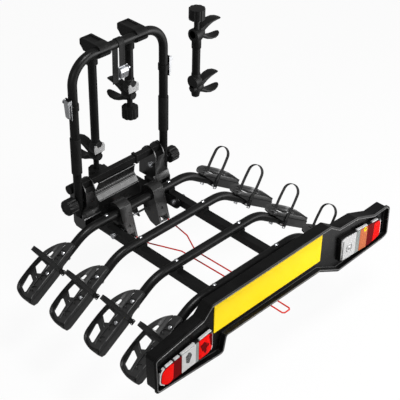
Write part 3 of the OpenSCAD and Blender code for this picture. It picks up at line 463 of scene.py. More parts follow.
# Wheel straps: a woven loop over each tray and under its tube. Places are (y, n) on the wing
STRAP_HALF = 8.0
STRAP_SECTION = [(-8.0, -0.5), (-7.6, -1.15), (-6.2, -1.3), (-5.8, -1.1), (5.8, -1.1), (6.2, -1.3),
                 (7.6, -1.15), (8.0, -0.5), (8.0, 0.5), (7.6, 1.15), (6.2, 1.3), (5.8, 1.1), (-5.8, 1.1),
                 (-6.2, 1.3), (-7.6, 1.15), (-8.0, 0.5)]
STRAP_LEGS = (-23.45, 38.75)
STRAP_ARC_N = 105.65
STRAP_FOOT_N = -17.35
STRAP_ROUND = 6.0
STRAP_RISE = [-10.0, 2.0, 16.0, 30.0, 45.0, 60.0, 75.0, 90.0]
BOW = 1.2
BOW_FROM = 28.0
ARC_STEPS = 18


def strap_loop():
    """Centre line of a strap's loop as (y, n), with its legs slightly bowed."""
    near, far = STRAP_LEGS
    middle = (near + far) / 2
    radius = (far - near) / 2
    span = STRAP_ARC_N - BOW_FROM
    bow = [BOW * math.sin(math.pi * max(0.0, n - BOW_FROM) / span) for n in STRAP_RISE]
    line = [(near - b, n) for n, b in zip(STRAP_RISE, bow)]
    for k in range(ARC_STEPS + 1):
        angle = math.pi * (1 - k / ARC_STEPS)
        line.append((middle + radius * math.cos(angle), STRAP_ARC_N + radius * math.sin(angle)))
    line += [(far + b, n) for n, b in zip(reversed(STRAP_RISE), reversed(bow))]
    quarter = [(math.cos(math.pi / 2 * k / 3), math.sin(math.pi / 2 * k / 3)) for k in range(4)]
    foot = STRAP_FOOT_N + STRAP_ROUND
    line += [(far - STRAP_ROUND + STRAP_ROUND * c, foot - STRAP_ROUND * s) for c, s in quarter]
    line += [(16.0, STRAP_FOOT_N), (0.0, STRAP_FOOT_N)]
    line += [(near + STRAP_ROUND - STRAP_ROUND * c, foot - STRAP_ROUND * s) for c, s in reversed(quarter)]
    return line


def make_straps():
    section = [(a * MM, b * MM) for a, b in STRAP_SECTION]
    tool = bmesh.new()
    for side in (-1, 1):
        across = wing_axis(side, 1, 0)
        for tube in range(4):
            path = [on_wing(side, tube, STRAP_S, y, n) for y, n in strap_loop()]
            add_sweep(tool, path, section, across, closed=True)
    add_piece("wheel_strap_webbing", tool, "webbing", "platform", ["wheel_straps"])


# Buckles of the wheel straps: a bent wire square that hangs from the strap's free end
BUCKLE_Y = -26.4
BUCKLE_HALF = 8.6
BUCKLE_N = (-22.6, -6.4)
WIRE_R = 1.4
TAIL = ((0.4, 8.0), (0.2, -4.0), (-1.6, -14.0), (-1.9, -17.0))
TAIL_SHARE = 0.8


def make_buckles():
    wire = [(a * MM, b * MM) for a, b in circle(WIRE_R, 8)]
    flat = [(a * TAIL_SHARE * MM, b * TAIL_SHARE * MM) for a, b in STRAP_SECTION]
    low, high = BUCKLE_N
    corners = [(-BUCKLE_HALF, low), (BUCKLE_HALF, low), (BUCKLE_HALF, high), (-BUCKLE_HALF, high)]
    square = rounded(corners, [2.5] * 4, 4)
    tool = bmesh.new()
    for side in (-1, 1):
        for tube in range(4):
            path = [on_wing(side, tube, STRAP_S + p.x, BUCKLE_Y, p.y) for p in square]
            add_sweep(tool, path, wire, wing_axis(side, 0, 1), closed=True)
            tail = [on_wing(side, tube, STRAP_S, BUCKLE_Y + y, n) for y, n in TAIL]
            add_sweep(tool, tail, flat, wing_axis(side, 1, 0))
    add_piece("wheel_strap_wires", tool, "black_paint", "platform", ["strap_buckles"])


# Wheel trays: a floor with openings, an apron that ramps up to a curved wall, a lip with a skirt, and ribs.
# Places are (s, y) on the wing
TRAY_EDGE = [(63, -18), (61, -4), (68, 15), (86, 34), (112, 50), (140, 60), (172, 65), (207, 68),
             (247, 68), (276, 65), (295, 54), (306, 32), (311, 6), (308, -18)]
APRON_END = 148.0
APRON_IN = 17.0
APRON_WIDE = 22.0
APRON_HOLE = [(113, 30), (143, 30), (145, 47)]
FLOOR_HOLES = [([(82, 20), (146, 20), (146, 52), (112, 42)], 4.0),
               ([(174, 25), (170, 57), (199, 61), (215, 38), (208, 23)], 4.0),
               ([(227, 62), (281, 52), (292, 24), (244, 30)], 5.0)]
TRAY_LIP = (-21.3, -18.0)
LIP_TOP = 31.0
LIP_FROM = 66.0
LIP_LONG = 238.0
BEAD_FROM = 70.0
BEAD_LONG = 190.0
BEAD_RADIUS = 1.2
SKIRT = [(66, 18), (113, 8), (140, 3), (164, -11), (176, -13), (305, -13), (309, 18)]
SKIRT_RADII = [2, 30, 14, 8, 4, 17, 2]
WALL_TOP = 36.0
WALL_LOW = 23.0
WALL_FOOT = 5.0
# The wall's outer end, from a share of its line on, where it sinks and its foot widens to a cove
COVE_FROM = 0.72
COVE_SPAN = 0.2
COVE_SINK = 5.0
COVE_WIDE = 9.0
# How far the end wall hangs below the floor, and how soon along its line
END_DROP = 29.0
END_STEEP = 1.6
TRAY_FOOT = TRAY_TOP - 0.5
CUPS = (128.0, 214.0, 262.0)
# Ribs along the wing: their ends along s, their place across, half width and height
RIBS = [(78, 98, -12.5, 2.2, 24.5), (118, 150, -12.5, 2.2, 24.5), (206, 298, -12.5, 2.2, 24.5),
        (82, 150, 15.5, 1.8, 24.0), (170, 288, 15.5, 1.8, 24.0)]
RIB_SLANT = ((206, 60), (229, 22))


def smooth_line(points, steps):
    """A smooth curve through its points."""
    points = [Vector(p) for p in points]
    ends = [points[0]] + points + [points[-1]]
    line = []
    for a, b, c, d in zip(ends, ends[1:], ends[2:], ends[3:]):
        for k in range(steps):
            t = k / steps
            line.append(0.5 * (2 * b + (c - a) * t + (2 * a - 5 * b + 4 * c - d) * t * t
                               + (3 * b - a - 3 * c + d) * t * t * t))
    return line + [points[-1]]


def wall_top(s):
    """Height of the wall and of the apron at s: both ramp up over the tray's inner part."""
    if s > APRON_END:
        return WALL_TOP
    share = max(0.0, s - TRAY_EDGE[1][0]) / (APRON_END - TRAY_EDGE[1][0])
    return WALL_LOW + (WALL_TOP - WALL_LOW) * share


def apron_top(s, y):
    """Height of the apron, which slopes from the wall down to the floor beside the tube."""
    share = min(1.0, max(0.0, (y - APRON_IN) / APRON_WIDE))
    return TRAY_TOP + 0.5 + (wall_top(s) - TRAY_TOP - 0.5) * share


def add_plate(tool, place, loops, top, bottom, chamfer=0.9):
    """A plate with holes. The first loop is its outline, and place turns s, y and n into a point."""
    first = loops[0]
    drawn = [inset(loop, chamfer if loop is first else -chamfer) for loop in loops]
    upper = [[tool.verts.new(place(p.x, p.y, top(p.x, p.y))) for p in loop] for loop in drawn]
    edge = [[tool.verts.new(place(p.x, p.y, top(p.x, p.y) - chamfer)) for p in loop] for loop in loops]
    lower = [[tool.verts.new(place(p.x, p.y, bottom(p.x, p.y))) for p in loop] for loop in loops]
    for rows, flat in ((upper, drawn), (lower, loops)):
        verts = [v for row in rows for v in row]
        for a, b, c in tessellate_polygon([[p.to_3d() for p in loop] for loop in flat]):
            if len({a, b, c}) == 3:
                tool.faces.new((verts[a], verts[b], verts[c]))
    for low, high in list(zip(lower, edge)) + list(zip(edge, upper)):
        add_band(tool, low, high)


def add_wall(tool, place, line):
    """The tray's curved wall. Its foot widens to a cove round the outer end."""
    rings = []
    count = len(line)
    for k, point in enumerate(line):
        along = line[min(k + 1, count - 1)] - line[max(k - 1, 0)]
        inward = Vector((along.y, -along.x)).normalized()
        top = wall_top(point.x)
        cove = min(1.0, max(0.0, (k / (count - 1) - COVE_FROM) / COVE_SPAN))
        foot = WALL_FOOT + COVE_WIDE * cove
        top -= COVE_SINK * cove
        section = [(0.0, TRAY_BASE), (0.2, top - 1.8), (0.8, top - 0.5), (1.8, top), (2.8, top - 0.3),
                   (3.5, top - 1.3), (3.5 + 0.4 * (foot - 3.5), TRAY_TOP + 0.45 * (top - TRAY_TOP)),
                   (foot, TRAY_TOP), (foot + 0.5, TRAY_TOP - 1.0), (foot, TRAY_BASE)]
        rings.append([place(point.x + inward.x * a, point.y + inward.y * a, n) for a, n in section])
    add_rings(tool, rings)


def add_cup(tool, place, s, y, radii, heights, turn=1.0):
    """A turned ring standing on a tray, or a part of one, given as radii and heights of its section."""
    sides = 28
    rings = []
    for k in range(sides + (1 if turn < 1.0 else 0)):
        angle = 2 * math.pi * turn * k / sides
        rings.append([place(s + radius * math.cos(angle), y + radius * math.sin(angle), height)
                      for radius, height in zip(radii, heights)])
    add_rings(tool, rings, closed=turn >= 1.0)


def add_rib(tool, place, line, half, height):
    """A rib on a tray's floor with a rounded top along a line of (s, y), with its ends drawn down."""
    count = len(line)
    rings = []
    for k, point in enumerate(line):
        along = (line[min(k + 1, count - 1)] - line[max(k - 1, 0)]).normalized()
        across = Vector((-along.y, along.x))
        top = height if 0 < k < count - 1 else TRAY_FOOT + 0.8
        flank = max(top - 0.8 * half, TRAY_FOOT)
        shoulder = max(top - 0.25 * half, TRAY_FOOT)
        section = [(-half, TRAY_FOOT), (-half, flank), (-half * 0.6, shoulder), (0.0, top),
                   (half * 0.6, shoulder), (half, flank), (half, TRAY_FOOT)]
        rings.append([place(point.x + across.x * a, point.y + across.y * a, n) for a, n in section])
    add_rings(tool, rings)


def straight(start, end, steps=8):
    return [Vector(start).lerp(Vector(end), k / steps) for k in range(steps + 1)]


def add_tray(tool, place):
    edge = smooth_line(TRAY_EDGE, 5)
    holes = [rounded(points, [radius] * len(points), 4) for points, radius in FLOOR_HOLES]
    add_plate(tool, place, [inset(edge, 1.5)] + holes, lambda s, y: TRAY_TOP, lambda s, y: TRAY_BASE)
    ramp = [p for p in edge if p.x <= APRON_END and p.y > APRON_IN]
    inner = [(APRON_END, ramp[-1].y + 0.5), (APRON_END, 38), (APRON_END, APRON_IN), (110, APRON_IN),
             (76, APRON_IN)]
    apron = ramp + [Vector(p) for p in inner]
    hole = rounded(APRON_HOLE, [4.0] * 3, 4)
    add_plate(tool, place, [apron, hole], apron_top, lambda s, y: max(TRAY_FOOT, apron_top(s, y) - 4.0))
    add_wall(tool, place, [p for p in edge if p.x > APRON_END - 16.0])
    add_end(tool, place, [p for p in edge if p.x > 290.0])
    add_lip(tool, place)
    for s in TRAY_BOLTS:
        add_cup(tool, place, s, 0.0, (9.2, 9.8, 11.6, 12.6), (TRAY_FOOT, 23.4, 23.4, TRAY_FOOT))
    for s in CUPS:
        add_cup(tool, place, s, 3.0, (8.0, 8.5, 10.5, 11.5), (TRAY_FOOT, 26.0, 26.0, TRAY_FOOT), 0.55)
    for start, end, y, half, height in RIBS:
        add_rib(tool, place, straight((start, y), (end, y)), half, height)
    add_rib(tool, place, straight(*RIB_SLANT), 2.0, 24.0)


def add_end(tool, place, line):
    """The wall that closes the tray's outer end, drawn down round the tube's end."""
    rings = []
    count = len(line)
    for k, point in enumerate(line):
        along = line[min(k + 1, count - 1)] - line[max(k - 1, 0)]
        inward = Vector((along.y, -along.x)).normalized()
        low = TRAY_BASE - END_DROP * math.sin(math.pi / 2 * min(1.0, k / (count - 1) * END_STEEP))
        section = [(0.3, TRAY_TOP), (0.3, min(low + 5.0, TRAY_TOP)), (2.0, min(low + 1.5, TRAY_TOP)),
                   (4.5, low), (6.5, low), (6.5, TRAY_TOP)]
        rings.append([place(point.x + inward.x * a, point.y + inward.y * a, n) for a, n in section])
    add_rings(tool, rings)


def add_lip(tool, place):
    """The lip along the tube's rear side with the skirt that hangs below it."""
    near, far = TRAY_LIP
    line = rounded(SKIRT, SKIRT_RADII, 5)
    add_rings(tool, [[place(p.x, near, p.y) for p in line], [place(p.x, far, p.y) for p in line]])
    middle = (near + far) / 2
    rings = []
    for k in range(17):
        s = LIP_FROM + LIP_LONG * k / 16
        top = TRAY_TOP + (LIP_TOP - TRAY_TOP) * min(1.0, 2.2 * math.sin(math.pi * (0.04 + 0.92 * k / 16)))
        section = [(near, TRAY_BASE), (near, top - 1.5), (near + 0.7, top - 0.3), (middle, top),
                   (far - 0.7, top - 0.3), (far, top - 1.5), (far + 1.5, TRAY_TOP), (far + 1.5, TRAY_BASE)]
        rings.append([place(s, y, n) for y, n in section])
    add_rings(tool, rings)


def make_trays():
    # Painted highlight: the bead along each lip's top is a lighter grey, for the light line along the lip
    lip_highlight = moulded_plastic("tray_lip_painted_highlight", grey(0.08), grey(0.2), 0.35)
    for side, word in ((-1, "left"), (1, "right")):
        tool = bmesh.new()
        for tube in range(4):
            add_tray(tool, lambda s, y, n: on_wing(side, tube, s, y, n))
        add_piece("wheel_trays_" + word, tool, "black_plastic", "platform", ["trays_" + word],
                  MATERIALS["tray_plastic"])
        tool = bmesh.new()
        section = [(a * MM, b * MM) for a, b in circle(BEAD_RADIUS, 8)]
        y = sum(TRAY_LIP) / 2
        for tube in range(4):
            places = [BEAD_FROM + BEAD_LONG * k / 12 for k in range(13)]
            path = [on_wing(side, tube, s, y, LIP_TOP - 0.6) for s in places]
            add_sweep(tool, path, section, wing_axis(side, 0, 1))
        add_piece("tray_lip_bead_" + word, tool, "black_plastic", "platform", material=lip_highlight)


# Light board: a broad flange with a bead along its rim, and lamps with lenses, bezels and tabs.
# Places are (x, z) as seen from behind
BOARD = [(-523, 8), (-322, 44), (-286, 80.5), (283, 81), (334, 47), (434, 42), (533, 3), (608, 5),
         (624, -9), (630, -125), (603, -132), (355, -141), (245, -82), (-218, -80), (-230, -145),
         (-517, -125)]
BOARD_REAR = -753.0
FLANGE_OUT = 5.5
RIM_IN = 1.8
RIM_RADIUS = 1.3
BOARD_CORNER = 12.0


def flat_path(points, y):
    return [Vector((p.x, y, p.y)) * MM for p in points]


def add_slab(tool, points, y_back, y_front, bulge=0.0, edge=0.8):
    """A flat outline made solid along Y, with a soft edge and a domed front."""
    middle = sum(points, Vector((0.0, 0.0))) / len(points)
    soft = inset(points, edge)
    rings = [flat_path(points, y_back), flat_path(points, y_front + edge), flat_path(soft, y_front)]
    for share in (0.85, 0.6, 0.3):
        rise = bulge * (1 - share ** 2)
        rings.append([Vector((middle.x + (p.x - middle.x) * share, y_front - rise,
                              middle.y + (p.y - middle.y) * share)) * MM for p in soft])
    add_rings(tool, rings)


def add_frame(tool, outer, width, y_back, y_front, edge=0.7):
    """A flat ring along an outline, with soft edges."""
    inner = inset(outer, width)
    soft_outer = inset(outer, edge)
    soft_inner = inset(outer, width - edge)
    rings = [flat_path(outer, y_back), flat_path(outer, y_front + edge), flat_path(soft_outer, y_front),
             flat_path(soft_inner, y_front), flat_path(inner, y_front + edge), flat_path(inner, y_back)]
    add_rings(tool, rings, closed=True)


def clip_band(points, low, high):
    """The part of an outline between two upright lines."""
    for limit, sign in ((low, 1), (high, -1)):
        out = []
        for a, b in zip(points, points[1:] + points[:1]):
            a_in = sign * (a[0] - limit) >= 0
            b_in = sign * (b[0] - limit) >= 0
            if a_in:
                out.append(a)
            if a_in != b_in:
                share = (limit - a[0]) / (b[0] - a[0])
                out.append((limit, a[1] + (b[1] - a[1]) * share))
        points = out
    return points


# Lamps: their outlines, and the depths of their lenses and bezels
LAMPS = {
    "left": [(-500, -49), (-504, -100), (-477, -121), (-279, -105), (-278, -21), (-454, -43)],
    "right": [(361, -109), (355, -9), (583, -32), (586, -110), (523, -121)],
}
LENS_BACK = -749.0
LENS_FRONT = -752.0
BEZEL_BACK = -742.0
# Tabs along the lamps' tops: both ends of the top edge, and the shares of it that each tab covers
TABS = [((-484, -46.5), (-279, -21), ((0.02, 0.16), (0.20, 0.30), (0.34, 0.62), (0.72, 0.97))),
        ((356, -9), (578, -31.5), ((0.40, 0.66), (0.79, 0.94)))]
TAB_HIGH = Vector((0, 4.5))


def lens_outline(lamp, low, high, end_radius, cut_radius=1.5, margin=2.5):
    outline = [tuple(p) for p in inset([Vector(p) for p in LAMPS[lamp]], margin)]
    band = clip_band(outline, low, high)
    radii = [cut_radius if min(abs(p[0] - low), abs(p[0] - high)) < 0.01 else end_radius for p in band]
    return rounded(band, radii)


def disc_outline(x, z, radius, sides=28):
    return [Vector((x + a, z + b)) for a, b in circle(radius, sides)]


def make_lamps():
    reflex = lens_plastic("lens_reflex", tint(0.10, 0.001, 0.002), tint(0.16, 0.003, 0.004))
    bezel = moulded_plastic("lamp_bezel", grey(0.50), grey(0.72), 0.25)
    divider = moulded_plastic("lamp_divider", tint(0.20, 0.22, 0.21), tint(0.30, 0.32, 0.31), 0.3)
    silver = bright_metal("lamp_reflector", grey(0.28), grey(0.5), 0.25)

    tool = bmesh.new()
    left_bright = [(-496, -54), (-499, -99), (-476, -117), (-449, -115), (-447, -47), (-460, -46)]
    add_slab(tool, rounded(left_bright, [22, 16, 12, 26, 3, 10]), LENS_BACK, LENS_FRONT, 2.0)
    add_slab(tool, lens_outline("left", -340, -277, 24.0, 6.0), LENS_BACK, LENS_FRONT, 3.0)
    right_bright = [(544, -37), (580, -36), (583, -106), (560, -112), (541, -114)]
    add_slab(tool, rounded(right_bright, [3, 18, 24, 10, 3]), LENS_BACK, LENS_FRONT, 2.0)
    add_piece("lamp_lenses_red", tool, "lens_red", "platform", ["lenses_red"])

    tool = bmesh.new()
    add_slab(tool, lens_outline("left", -505, -413, 22.0, 3.0), LENS_BACK, LENS_FRONT + 0.7, 0.8)
    add_slab(tool, lens_outline("right", 506, 587, 22.0, 2.0), LENS_BACK, LENS_FRONT + 0.7, 0.8)
    kite = [(-335, -50), (-318, -42), (-296, -62), (-313, -92), (-327, -76)]
    add_slab(tool, rounded(kite, [1.5] * 5), LENS_BACK, LENS_FRONT - 2.6, 0.3)
    sliver = [(-296, -34), (-283, -28), (-283, -84), (-292, -66)]
    add_slab(tool, rounded(sliver, [1.5] * 4), LENS_BACK, LENS_FRONT - 2.4, 0.3)
    add_piece("lamp_reflex_panels", tool, "lens_red", "platform", material=reflex)

    tool = bmesh.new()
    add_slab(tool, lens_outline("left", -413, -352, 2.0), LENS_BACK, LENS_FRONT, 1.5)
    add_slab(tool, lens_outline("right", 354, 440, 14.0, 2.0), LENS_BACK, LENS_FRONT, 1.5)
    add_piece("lamp_lenses_clear", tool, "lens_clear", "platform", ["lenses_clear"])

    tool = bmesh.new()
    add_slab(tool, lens_outline("right", 462, 505, 2.0), LENS_BACK, LENS_FRONT, 2.0)
    add_piece("lamp_lens_amber", tool, "lens_amber", "platform", ["lenses_amber"])

    tool = bmesh.new()
    add_slab(tool, disc_outline(489, -33, 8.5), LENS_BACK, LENS_FRONT - 1.6, 0.5)
    add_piece("lamp_bulb_ring", tool, "lens_amber", "platform", material=MATERIALS["yellow_plate"])
    tool = bmesh.new()
    add_slab(tool, disc_outline(490, -30, 4.5), LENS_BACK, LENS_FRONT - 2.2, 0.3)
    add_piece("lamp_bulb_middle", tool, "lens_amber", "platform", material=MATERIALS["board_plastic"])

    tool = bmesh.new()
    add_slab(tool, lens_outline("left", -352, -340.5, 0.8), LENS_BACK, LENS_FRONT, 0.0)
    add_slab(tool, lens_outline("right", 440.5, 461.5, 0.8), LENS_BACK, LENS_FRONT, 0.0)
    add_piece("lamp_dividers", tool, "lens_clear", "platform", material=divider)

    tool = bmesh.new()
    add_frame(tool, disc_outline(400, -66, 17), 3.5, LENS_BACK, LENS_FRONT - 2.2)
    add_slab(tool, disc_outline(400, -66, 7), LENS_BACK, LENS_FRONT - 2.6, 1.2)
    left_mirror = [(-398, -54), (-382, -40), (-372, -60), (-384, -88), (-396, -80)]
    add_slab(tool, rounded(left_mirror, [4.0] * 5), LENS_BACK, LENS_FRONT - 2.2, 0.3)
    right_mirror = [(363, -24), (368, -22), (370, -100), (364, -100)]
    add_slab(tool, rounded(right_mirror, [1.5] * 4), LENS_BACK, LENS_FRONT - 2.2, 0.3)
    add_piece("lamp_reflectors", tool, "zinc", "platform", material=silver)

    tool = bmesh.new()
    for start, end, spans in TABS:
        for low, high in spans:
            a = Vector(start).lerp(Vector(end), low)
            b = Vector(start).lerp(Vector(end), high)
            add_slab(tool, [a, b, b + TAB_HIGH, a + TAB_HIGH], BEZEL_BACK, LENS_FRONT + 1.0, 0.0)
    for lamp, low, high in (("left", -505, -484), ("left", -283, -277), ("right", 580, 589)):
        whole = rounded(LAMPS[lamp], [20] * len(LAMPS[lamp]))
        crescent = clip_band([tuple(p) for p in inset(whole, -2.0)], low, high)
        add_slab(tool, [Vector(p) for p in crescent], BEZEL_BACK, LENS_BACK - 1.0, 0.5)
    add_piece("lamp_bezels", tool, "lens_clear", "platform", material=bezel)


def make_board_rim():
    """The board's broad rear flange with rounded edges, and the bead that runs inside it, painted a lighter
    grey as a highlight line.
    """
    outline = rounded(BOARD, [BOARD_CORNER] * len(BOARD), 5)
    tool = bmesh.new()
    section = [(-FLANGE_OUT, 2.0), (-FLANGE_OUT + 2.0, 0.3), (-FLANGE_OUT + 4.0, 0.0), (2.5, 0.0),
               (3.0, 0.6), (3.0, 7.0), (0.0, 9.0), (-FLANGE_OUT + 2.0, 9.0), (-FLANGE_OUT, 6.5)]
    rings = [flat_path(inset(outline, a), BOARD_REAR + b) for a, b in section]
    add_rings(tool, rings, closed=True)
    add_piece("board_flange", tool, "board_plastic", "platform")

    # Painted highlight: the bead is a lighter grey than the board, for the highlight line inside the flange
    rim = moulded_plastic("board_rim_highlight", grey(0.10), grey(0.20), 0.3)
    tool = bmesh.new()
    path = flat_path(inset(outline, RIM_IN), BOARD_REAR - 0.2)
    section = [(a * MM, b * MM) for a, b in circle(RIM_RADIUS, 8)]
    add_sweep(tool, path, section, Vector((0, 1, 0)), closed=True)
    add_piece("board_rim_bead", tool, "board_plastic", "platform", material=rim)


# Hoop knobs: scalloped grips with rounded edges and a cap at the end
SCALLOPS = 10
SCALLOP_DEPTH = 0.10
SCALLOP_FROM = 0.7
KNURL = 0.006
KNOB_X = 222.0
KNOB_RADIUS = 0.029
KNOB_HEIGHT = 0.040


def add_knob(tool, origin, axis, radius, height):
    """A scalloped grip turned about an axis, from its base at the origin."""
    sides = SCALLOPS * 12
    side = axis.orthogonal().normalized()
    other = axis.cross(side)
    rows = [(0.55, 0.0), (0.92, 0.0), (1.0, 0.06), (1.0, 0.5), (1.0, 0.86), (0.95, 0.95), (0.86, 1.0),
            (0.6, 1.0), (0.56, 0.96), (0.3, 0.96)]
    rings = []
    for share, level in rows:
        depth = SCALLOP_DEPTH * max(0.0, (share - SCALLOP_FROM) / 0.3)
        ring = []
        for k in range(sides):
            angle = 2 * math.pi * k / sides
            lobe = max(0.0, math.cos(angle * SCALLOPS)) ** 1.5
            fine = KNURL * math.cos(angle * sides / 4) if share == 1.0 else 0.0
            reach = radius * (share - depth * lobe + fine)
            outward = side * math.cos(angle) + other * math.sin(angle)
            ring.append(origin + axis * (height * level) + outward * reach)
        rings.append(ring)
    add_rings(tool, rings)


def make_knobs():
    for side, word in ((-1, "left"), (1, "right")):
        tool = bmesh.new()
        origin = Vector((side * KNOB_X, *HOOP_AXIS)) * MM
        add_knob(tool, origin, Vector((side, 0, 0)), KNOB_RADIUS, KNOB_HEIGHT)
        add_piece("hoop_grip_" + word, tool, "grip_plastic", "hoop_knob_" + word, ["hoop_knob_" + word])


# Frame claws: a moulded jaw with two blunt fingers, a round hub and a neck on the holder's tube, and on the
# hoop's two holders a grey face plate
CLAW_AT = [(-74.0, 24.0, 168.0), (90.0, 24.0, 353.0), (366.0, -28.0, 506.0)]
CLAW_HUB = (34.0, 26.0, 4.0)
CLAW_SMOOTH = 38.0
FINGER_UP = [(6, 6), (24, 14), (42, 26), (60, 33), (80, 36), (96, 34), (106, 30), (110, 28)]
FINGER_LOW = [(6, -6), (24, -14), (42, -25), (62, -32), (84, -33), (100, -30), (111, -26), (115, -24)]
FINGER_HALF = [14, 17, 19.5, 20.5, 20, 16, 10, 4]
FINGER_THICK = [22, 18, 14, 11, 9, 8, 6, 4]
FINGER_DROP = (0.0, -12.0, 0.0)
# Power below 1 that squares off a finger's oval section
SQUARENESS = 0.6
# Turned parts as rows of reach along the axis and radius
HUB_LINE = [(-20, 15), (-20, 23), (-18, 25), (8, 25), (12, 22), (12, 12)]
ROOT_LINE = [(-20, 14), (10, 20), (26, 17), (34, 9)]
LOOSE_NECK = [(-34, 12), (-32, 14.5), (-10, 18), (40, 18), (60, 16.5)]
# Height of the loose holder's second claw, and of its hub above the jaw
LOOSE_Z = 287.0
LOOSE_HUB = 28.0
# The face plate's depths out from the tube, each with its share of the outline
FACE_ROWS = ((-19.5, 1.0), (-22.5, 1.0), (-23.5, 0.93))


def claw_point(holder, u, a, w):
    """A point of a frame claw's own frame, u across the jaw, a out from the tube and w up."""
    x, y, z = CLAW_AT[holder]
    if holder < 2:
        return Vector((x + u, y + a, z + w)) * MM
    return Vector((x + a, y - u, z - w)) * MM


def loose_point(u, a, w):
    """A point of the loose holder's second claw, which isn't turned over like its first."""
    x, y, _ = CLAW_AT[2]
    return Vector((x + a, y - u, LOOSE_Z + w)) * MM


def add_finger(tool, place, line):
    """A leaf shaped finger along a line of (a, w) points, which place turns into the part's frame."""
    count = len(line)
    rings = []
    for k, (a, w) in enumerate(line):
        before = line[max(k - 1, 0)]
        after = line[min(k + 1, count - 1)]
        along = Vector((after[0] - before[0], after[1] - before[1])).normalized()
        ring = []
        for c, s in circle(1.0, 20):
            u = FINGER_HALF[k] * math.copysign(abs(c) ** SQUARENESS, c)
            n = FINGER_THICK[k] / 2 * math.copysign(abs(s) ** SQUARENESS, s)
            ring.append(place(u, a - along.y * n, w + along.x * n))
        rings.append(ring)
    add_rings(tool, rings)


def add_turned(tool, place, line, at_w=None):
    """A turned body round the neck's axis, or round one that runs out from the tube at the height at_w."""
    rings = []
    for reach, radius in line:
        points = circle(radius, 32)
        rings.append([place(c, s, reach) if at_w is None else place(c, reach, at_w + s) for c, s in points])
    add_rings(tool, rings)


def add_face(tool, place, hub_w):
    """The plate on a hub's front, with a round notch at its top."""
    notch = [(13 * math.cos(t * math.pi / 8), 17 - 13 * math.sin(t * math.pi / 8)) for t in range(9)]
    rim = [(-22, -15), (22, -15), (24, 6), (21, 17)] + notch + [(-21, 17), (-24, 6)]
    rows = []
    for a, share in FACE_ROWS:
        rows.append([tool.verts.new(place(u * share, a, hub_w + w * share)) for u, w in rim])
    for low, high in zip(rows, rows[1:]):
        add_band(tool, low, high)
    for triangle in tessellate_polygon([[Vector((u, w, 0)) for u, w in rim]]):
        tool.faces.new([rows[0][i] for i in reversed(triangle)])
        tool.faces.new([rows[-1][i] for i in triangle])


def make_claws():
    for holder, (hub_w, drop) in enumerate(zip(CLAW_HUB, FINGER_DROP)):
        node = "holder_%d_frame_claw" % (holder + 1)
        slot = slot_of_node[node]
        body = body_of_node[node]
        place = partial(claw_point, holder)
        tool = bmesh.new()
        for line in (FINGER_UP, FINGER_LOW):
            add_finger(tool, lambda u, a, w: place(u, a, w + drop), line)
        add_turned(tool, place, HUB_LINE, hub_w)
        add_turned(tool, place, ROOT_LINE, 0.5 * drop)
        add_turned(tool, place, [(min(hub_w, 20), 15), (hub_w + 8, 17.5), (56, 17.5), (58, 16)])
        add_turned(tool, place, [(-56, 8), (-56, 10), (-24, 10), (-8, 13), (hub_w, 13)])
        add_piece(node + "_moulding", tool, slot, body, [node], smooth=CLAW_SMOOTH)
        if holder < 2:
            plate = bmesh.new()
            add_face(plate, place, hub_w)
            add_piece(node + "_face", plate, slot, body, [node], MATERIALS["claw_face"])


def make_loose_claw():
    """The loose holder's second claw, which has the same two fingers as the first."""
    node = "holder_3_hoop_claw"
    tool = bmesh.new()
    add_finger(tool, loose_point, FINGER_UP)
    add_finger(tool, loose_point, FINGER_LOW)
    add_turned(tool, loose_point, HUB_LINE, LOOSE_HUB)
    add_turned(tool, loose_point, ROOT_LINE, 0)
    add_turned(tool, loose_point, LOOSE_NECK)
    add_piece(node + "_moulding", tool, slot_of_node[node], body_of_node[node], [node], smooth=CLAW_SMOOTH)


# Top strap: webbing over the hoop's top bar, with both ends hanging down
BAR_Z = 598.0
TOP_HALF = 12.5
TOP_RADIUS = 16.0 + 0.1 + 1.25
TOP_FRONT = [(0.6, 438.0), (1.2, 460.0), (0.8, 500.0), (0.0, 540.0), (0.0, 580.0)]
TOP_REAR = [560.0, 520.0, 478.0]


def make_top_strap():
    section = [(a * TOP_HALF / STRAP_HALF * MM, b * MM) for a, b in STRAP_SECTION]
    bar_y = HOOP_AXIS[0]
    line = [(bar_y + TOP_RADIUS + out, z) for out, z in TOP_FRONT]
    for k in range(ARC_STEPS + 1):
        angle = math.pi * k / ARC_STEPS
        line.append((bar_y + TOP_RADIUS * math.cos(angle), BAR_Z + TOP_RADIUS * math.sin(angle)))
    line += [(bar_y - TOP_RADIUS, z) for z in TOP_REAR]
    path = [Vector((-2.0, y, z)) * MM for y, z in line]
    tool = bmesh.new()
    add_sweep(tool, path, section, Vector((1, 0, 0)))
    add_piece("top_strap_webbing", tool, "webbing", "hoop", ["top_strap"], MATERIALS["rubber_sleeve"])


# Stage: a wide pale floor well below the rack, whose far edge rises as a backdrop, and soft lamps.
# Seen straight it is nearly white. In mirror rays it is dim, but for a bright region at the front right
FLOOR_Z = -0.42
FLOOR_RINGS = [(4.0, 0.0), (12.0, 0.0), (18.0, 0.5), (22.0, 1.8), (25.0, 4.0), (27.0, 7.0)]
FLOOR_SIDES = 48
FLOOR_GLOW = 0.93
MIRROR_LIGHT = 1.6
MIRROR_DARK = 0.25
MIRROR_X = (0.30, 0.60)
MIRROR_Y = (-0.95, -1.20)


